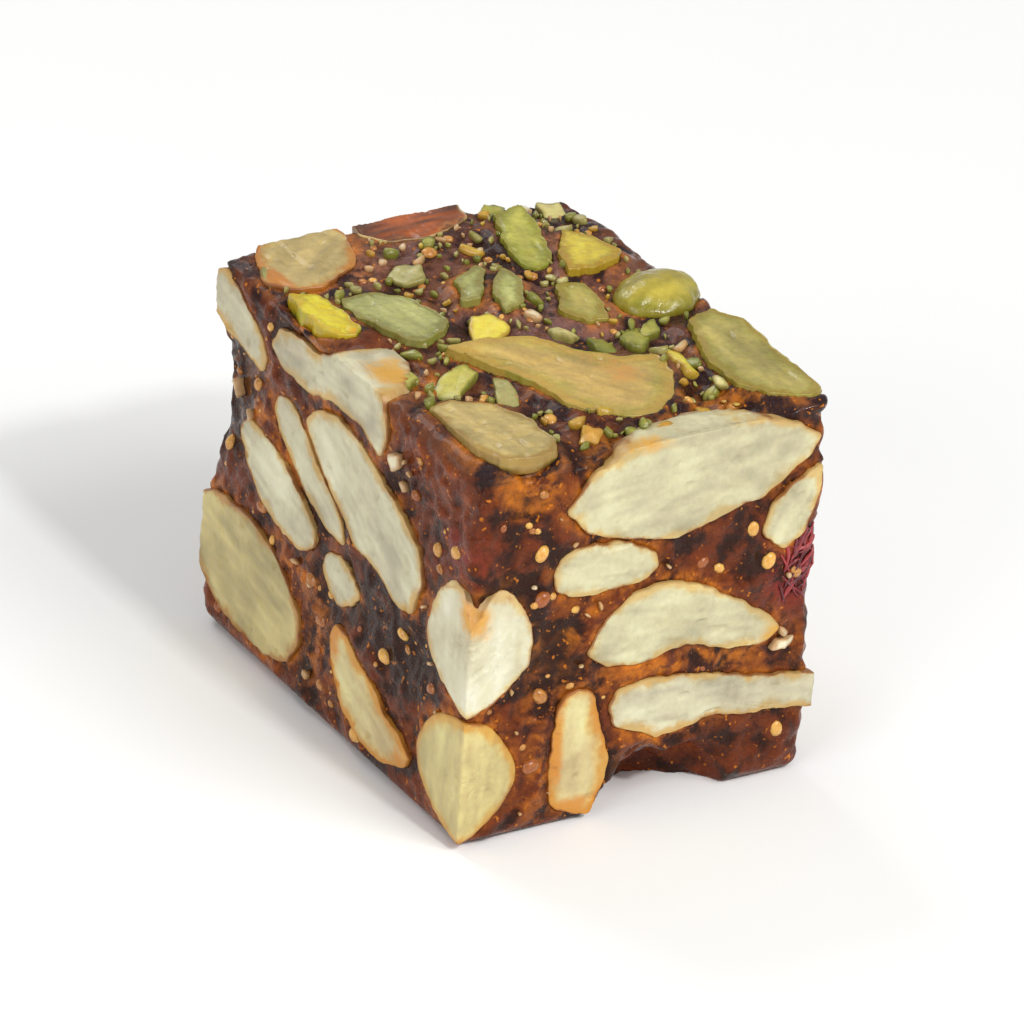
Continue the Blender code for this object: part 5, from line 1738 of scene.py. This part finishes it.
@dataclass
class Strands:
    """Torn red fruit fibres: thin bent tubes lying on the skin, joined in one mesh."""

    name: str
    skin: PasteSkin
    sides: int = 6
    steps: int = 8

    def build(self) -> bpy.types.Object:
        """Makes the joined mesh.

        Each fibre starts at a drawn place, walks over the face with a slowly turning heading,
        and carries rings round its path whose radius swells and fades as sin(pi t).

        Returns:
            The new object, with the layer "tone".
        """
        draw = np.random.default_rng(DRAW_SEED + 3)
        shells: list[Shell] = []
        for face, across, up, wide, high, count in FIBRE_AREAS:
            for _ in range(count):
                shells.append(self.strand(face, across, up, wide, high, draw))
        whole = joined(shells)
        return Mesher(self.name).make(whole.points, whole.quads, whole.triangles, whole.layers)

    def strand(
        self, face: str, across: float, up: float, wide: float, high: float, draw: np.random.Generator
    ) -> Shell:
        """One fibre near a place on a face."""
        place = np.array([across, up]) + draw.uniform(-1.0, 1.0, 2) * (wide, high)
        heading, turn = draw.normal(1.1, 0.5), draw.uniform(-0.14, 0.14)
        stride = draw.uniform(0.2, 0.42)
        spine, outs = [], []
        for _ in range(self.steps):
            spot, normal = self.skin.spot(face, float(place[0]), float(place[1]))
            spine.append(spot + normal * 0.05)
            outs.append(normal)
            heading += turn + draw.uniform(-0.16, 0.16)
            place = place + stride * np.array([math.cos(heading), math.sin(heading)])
        spine, out = np.array(spine), np.array(outs)
        along = np.gradient(spine, axis=0)
        along /= np.linalg.norm(along, axis=1)[:, None]
        side = np.cross(out, along)
        t = np.linspace(0.08, 0.92, self.steps)
        radius = draw.uniform(0.07, 0.15) * np.sin(np.pi * t) ** 0.6
        phi = np.arange(self.sides) * 2 * np.pi / self.sides
        around = side[:, None] * np.cos(phi)[None, :, None] + out[:, None] * np.sin(phi)[None, :, None]
        tube = spine[:, None] + around * radius[:, None, None]
        points = np.concatenate([spine[:1], tube.reshape(-1, 3), spine[-1:]])
        tone = np.full(len(points), draw.uniform(0.0, 1.0))
        return Shell(points, *capped(self.steps, self.sides), {"tone": tone})


@dataclass
class Toppings:
    """Golden seeds, nut fragments and crumbs, placed by the same draws as in the solid."""

    draw: random.Random
    seeds: list[Grain] = field(default_factory=list)
    chips: list[Chip] = field(default_factory=list)

    def free(self, face: str, across: float, up: float, margin: float) -> bool:
        """Whether a small topping stays clear of every nut, the rim and the chip."""
        span = FACES[face].span
        edge = 1.7
        if not (edge < across < span[0] - edge and edge < up < span[1] - edge):
            return False
        if face == "front" and 9.0 < across < 23.0 and up < 6.6:
            return False
        nuts = [n for n in ALMONDS if n.face == face] + (SLICES if face == "top" else [])
        outlines = [Outline(n.across, n.up, n.length, n.width, n.tilt) for n in nuts]
        return not any(o.holds(across, up, margin) for o in outlines + EDGE_OUTLINES[face])

    def place(self) -> None:
        """Draws the places of the solid's seeds and crumbs, in the solid's order."""
        draw = self.draw
        margin = SEED_RADIUS + GAP
        places = [spot for spot in SEEDS_SEEN if self.free(*spot, margin)]
        taken = [(chip.face, chip.across, chip.up) for chip in CHIPS]
        sides = ["front", "left", "right", "back", "top", "left", "right", "back"]
        for _ in range(6000):
            if len(places) >= SEED_COUNT:
                break
            name = sides[len(places) % len(sides)] if draw.random() < 0.7 else draw.choice(sides)
            span = FACES[name].span
            spot = (name, draw.uniform(0, span[0]), draw.uniform(0, span[1]))
            if not self.free(*spot, margin):
                continue
            near = [p for p in places + taken if p[0] == name and math.dist(p[1:], spot[1:]) < 2.7]
            if not near:
                places.append(spot)
        for number, spot in enumerate(places):
            size = SEED_RADIUS * (0.72 + 0.28 * ((number * 0.61) % 1.0))
            tone = (number * 0.37) % 1.0
            turn = draw.uniform(0, 180)
            self.seeds.append(Grain(*spot, turn, (size, size * 0.78, size * 0.6), -0.08, tone, number))
        self.place_crumbs()

    def place_crumbs(self) -> None:
        """Adds the fragments, then the crumbs at the solid's draws on top."""
        draw = self.draw
        chips = list(CHIPS)
        for _ in range(3000):
            if len(chips) >= len(CHIPS) + CRUMB_COUNT:
                break
            across = draw.uniform(0, WIDTH)
            up = draw.uniform(0, DEPTH)
            near = [c for c in chips if c.face == "top" and math.dist((c.across, c.up), (across, up)) < 2.9]
            if self.free("top", across, up, 1.35) and not near:
                size = draw.uniform(1.3, 2.0)
                chips.append(Chip("top", across, up, size, 0.65 * size, draw.uniform(0, 180), "green"))
        self.chips = chips + self.crumbs()

    def crumbs(self) -> list[Chip]:
        """Smaller flat crumbs of nut, thickly strewn on top and thinly on the sides."""
        draw = random.Random(DRAW_SEED + 2)
        found: list[Chip] = []
        for face, count in FINE_CRUMBS.items():
            span = FACES[face].span
            wanted = len(found) + count
            for _ in range(4000):
                if len(found) >= wanted:
                    break
                size = 0.45 + 2.3 * draw.random() ** 1.5
                size *= 1.0 if face == "top" else 0.5
                across, up = draw.uniform(0, span[0]), draw.uniform(0, span[1])
                here = [c for c in found if c.face == face]
                near = [c for c in here if math.dist((c.across, c.up), (across, up)) < size]
                if near or not self.free(face, across, up, 0.3 * size):
                    continue
                kinds = ("green", "pale", "green", "yellow", "pale", "cream")
                kind = draw.choice(kinds if face == "top" else ("cream",))
                turn, tone = draw.uniform(0, 180), draw.random()
                width = size * draw.uniform(0.35, 0.7)
                thick = 0.2 + 0.16 * size
                found.append(Chip(face, across, up, size, width, turn, kind, tone, (), thick))
        return found

    def small_seeds(self) -> list[Grain]:
        """Smaller seeds between the others, mostly where the paste is bare."""
        draw = random.Random(DRAW_SEED + 1)
        found: list[Grain] = []
        sides = ["front", "left", "right", "back", "top"]
        for number in range(900):
            if len(found) >= SMALL_SEED_COUNT:
                break
            face = draw.choice(sides)
            span = FACES[face].span
            across, up = draw.uniform(0, span[0]), draw.uniform(0, span[1])
            size = 0.16 + 0.34 * draw.random() ** 1.6
            if self.free(face, across, up, size + 0.1):
                half = (size, size * 0.8, size * 0.6)
                turn, tone = draw.uniform(0, 180), draw.random()
                found.append(Grain(face, across, up, turn, half, -0.04, tone, number))
        return found

    def build(self, skin: PasteSkin) -> list[tuple[bpy.types.Object, str]]:
        """Makes the seeds and the fragments.

        Args:
            skin: the paste that carries them.

        Returns:
            Each piece and its slot.
        """
        made: list[tuple[bpy.types.Object, str]] = []
        golden = GrainFinish((150, 80, 30), (222, 168, 80), 0.2).make("seed_golden")
        seeds = Scatter("fig_seeds", skin, 9, 14, 0.08).build(self.seeds)
        small = Scatter("fig_seeds_small", skin, 4, 7, 0.08).build(self.small_seeds())
        for piece in (seeds, small):
            piece.data.materials.append(golden)
            made.append((piece, "fig_paste"))
        finishes = {
            "cream": ShardFinish((198, 176, 128), (222, 214, 182), (176, 128, 70), 0.45),
            "yellow": ShardFinish((190, 136, 50), (218, 200, 74), (166, 128, 38)),
            "green": ShardFinish((122, 126, 42), (184, 174, 80), (106, 108, 34)),
            "pale": ShardFinish((162, 154, 96), (202, 190, 122), (136, 128, 58)),
        }
        for kind, finish in finishes.items():
            piece = Shards(f"fragments_{kind}", skin).build([c for c in self.chips if c.kind == kind])
            piece.data.materials.append(finish.make(f"fragment_{kind}"))
            made.append((piece, "almond" if kind == "cream" else "pistachio"))
        strands = Strands("fruit_fibres", skin).build()
        strands.data.materials.append(GrainFinish((84, 16, 26), (158, 48, 50), 0.3).make("fibre_red"))
        made.append((strands, "fig_paste"))
        return made


@dataclass
class Studio:
    """Floor, soft lights and camera."""

    eye: tuple[float, float, float] = (-389.76, -617.48, 406.86)
    target: tuple[float, float, float] = (0.0, 0.0, 14.0)
    roll: float = 3.93
    lens: float = 430.0

    def build(self) -> None:
        """Sets the floor, the lights and the camera."""
        self.floor()
        self.light("key", (200, -420, 480), 300, 1.95, (1.0, 0.995, 0.985))
        self.light("fill", (-520, -220, 260), 340, 1.25, (0.99, 0.995, 1.0))
        self.light("spark", (30, -380, 400), 36, 0.95, (1.0, 1.0, 1.0))
        self.light("back", (-60, 480, 460), 300, 1.3, (1.0, 1.0, 1.0))
        world = bpy.data.worlds.new("studio")
        world.use_nodes = True
        background = world.node_tree.nodes["Background"]
        background.inputs["Color"].default_value = (1.0, 1.0, 1.0, 1.0)
        background.inputs["Strength"].default_value = 0.38
        bpy.context.scene.world = world
        bpy.context.scene.view_settings.view_transform = "Standard"
        self.camera()

    def floor(self) -> None:
        """A plain pale floor."""
        side = 3000.0
        steps = np.linspace(-side, side, 13)
        x, y = np.meshgrid(steps, steps, indexing="ij")
        points = np.stack([x.ravel(), y.ravel(), np.zeros(x.size)], axis=1)
        index = np.arange(x.size).reshape(x.shape)
        quads = np.stack([index[:-1, :-1], index[1:, :-1], index[1:, 1:], index[:-1, 1:]], axis=-1)
        mesh = bpy.data.meshes.new("floor")
        mesh.from_pydata((points * MM).tolist(), [], quads.reshape(-1, 4).tolist())
        floor = bpy.data.objects.new("floor", mesh)
        bpy.context.scene.collection.objects.link(floor)
        tree = Tree("floor_pale")
        tone = tree.noise(60.0, 2.0)
        colour = tree.mixed(tone, srgb(243, 243, 242), srgb(246, 246, 245))
        mesh.materials.append(tree.finish(colour, tone.between(0.0, 1.0, 0.6, 0.7), None, 0.0))

    def light(
        self, name: str, place: tuple[float, float, float], size: float, power: float, colour: tuple
    ) -> None:
        """A square soft light that looks at the block."""
        data = bpy.data.lights.new(name, "AREA")
        data.size = size * MM
        data.energy = power
        data.color = colour
        lamp = bpy.data.objects.new(name, data)
        bpy.context.scene.collection.objects.link(lamp)
        lamp.location = Vector(place) * MM
        aim = Vector(self.target) - Vector(place)
        lamp.rotation_euler = aim.to_track_quat("-Z", "Y").to_euler()

    def camera(self) -> None:
        """The photograph's viewing angle, with a longer lens."""
        data = bpy.data.cameras.new("camera")
        data.lens = self.lens
        data.sensor_width = 36.0
        data.clip_start = 0.01
        data.clip_end = 20.0
        camera = bpy.data.objects.new("camera", data)
        bpy.context.scene.collection.objects.link(camera)
        aim = Vector(self.target) - Vector(self.eye)
        turn = aim.to_track_quat("-Z", "Y").to_matrix() @ Matrix.Rotation(math.radians(self.roll), 3, "Z")
        camera.matrix_world = Matrix.Translation(Vector(self.eye) * MM) @ turn.to_4x4()
        bpy.context.scene.camera = camera


def main() -> None:
    """Loads the solids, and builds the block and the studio."""
    logging.basicConfig(level=logging.INFO, format="%(message)s")
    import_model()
    FigHalwa().build()
    Studio().build()


if __name__ == "__main__":
    main()
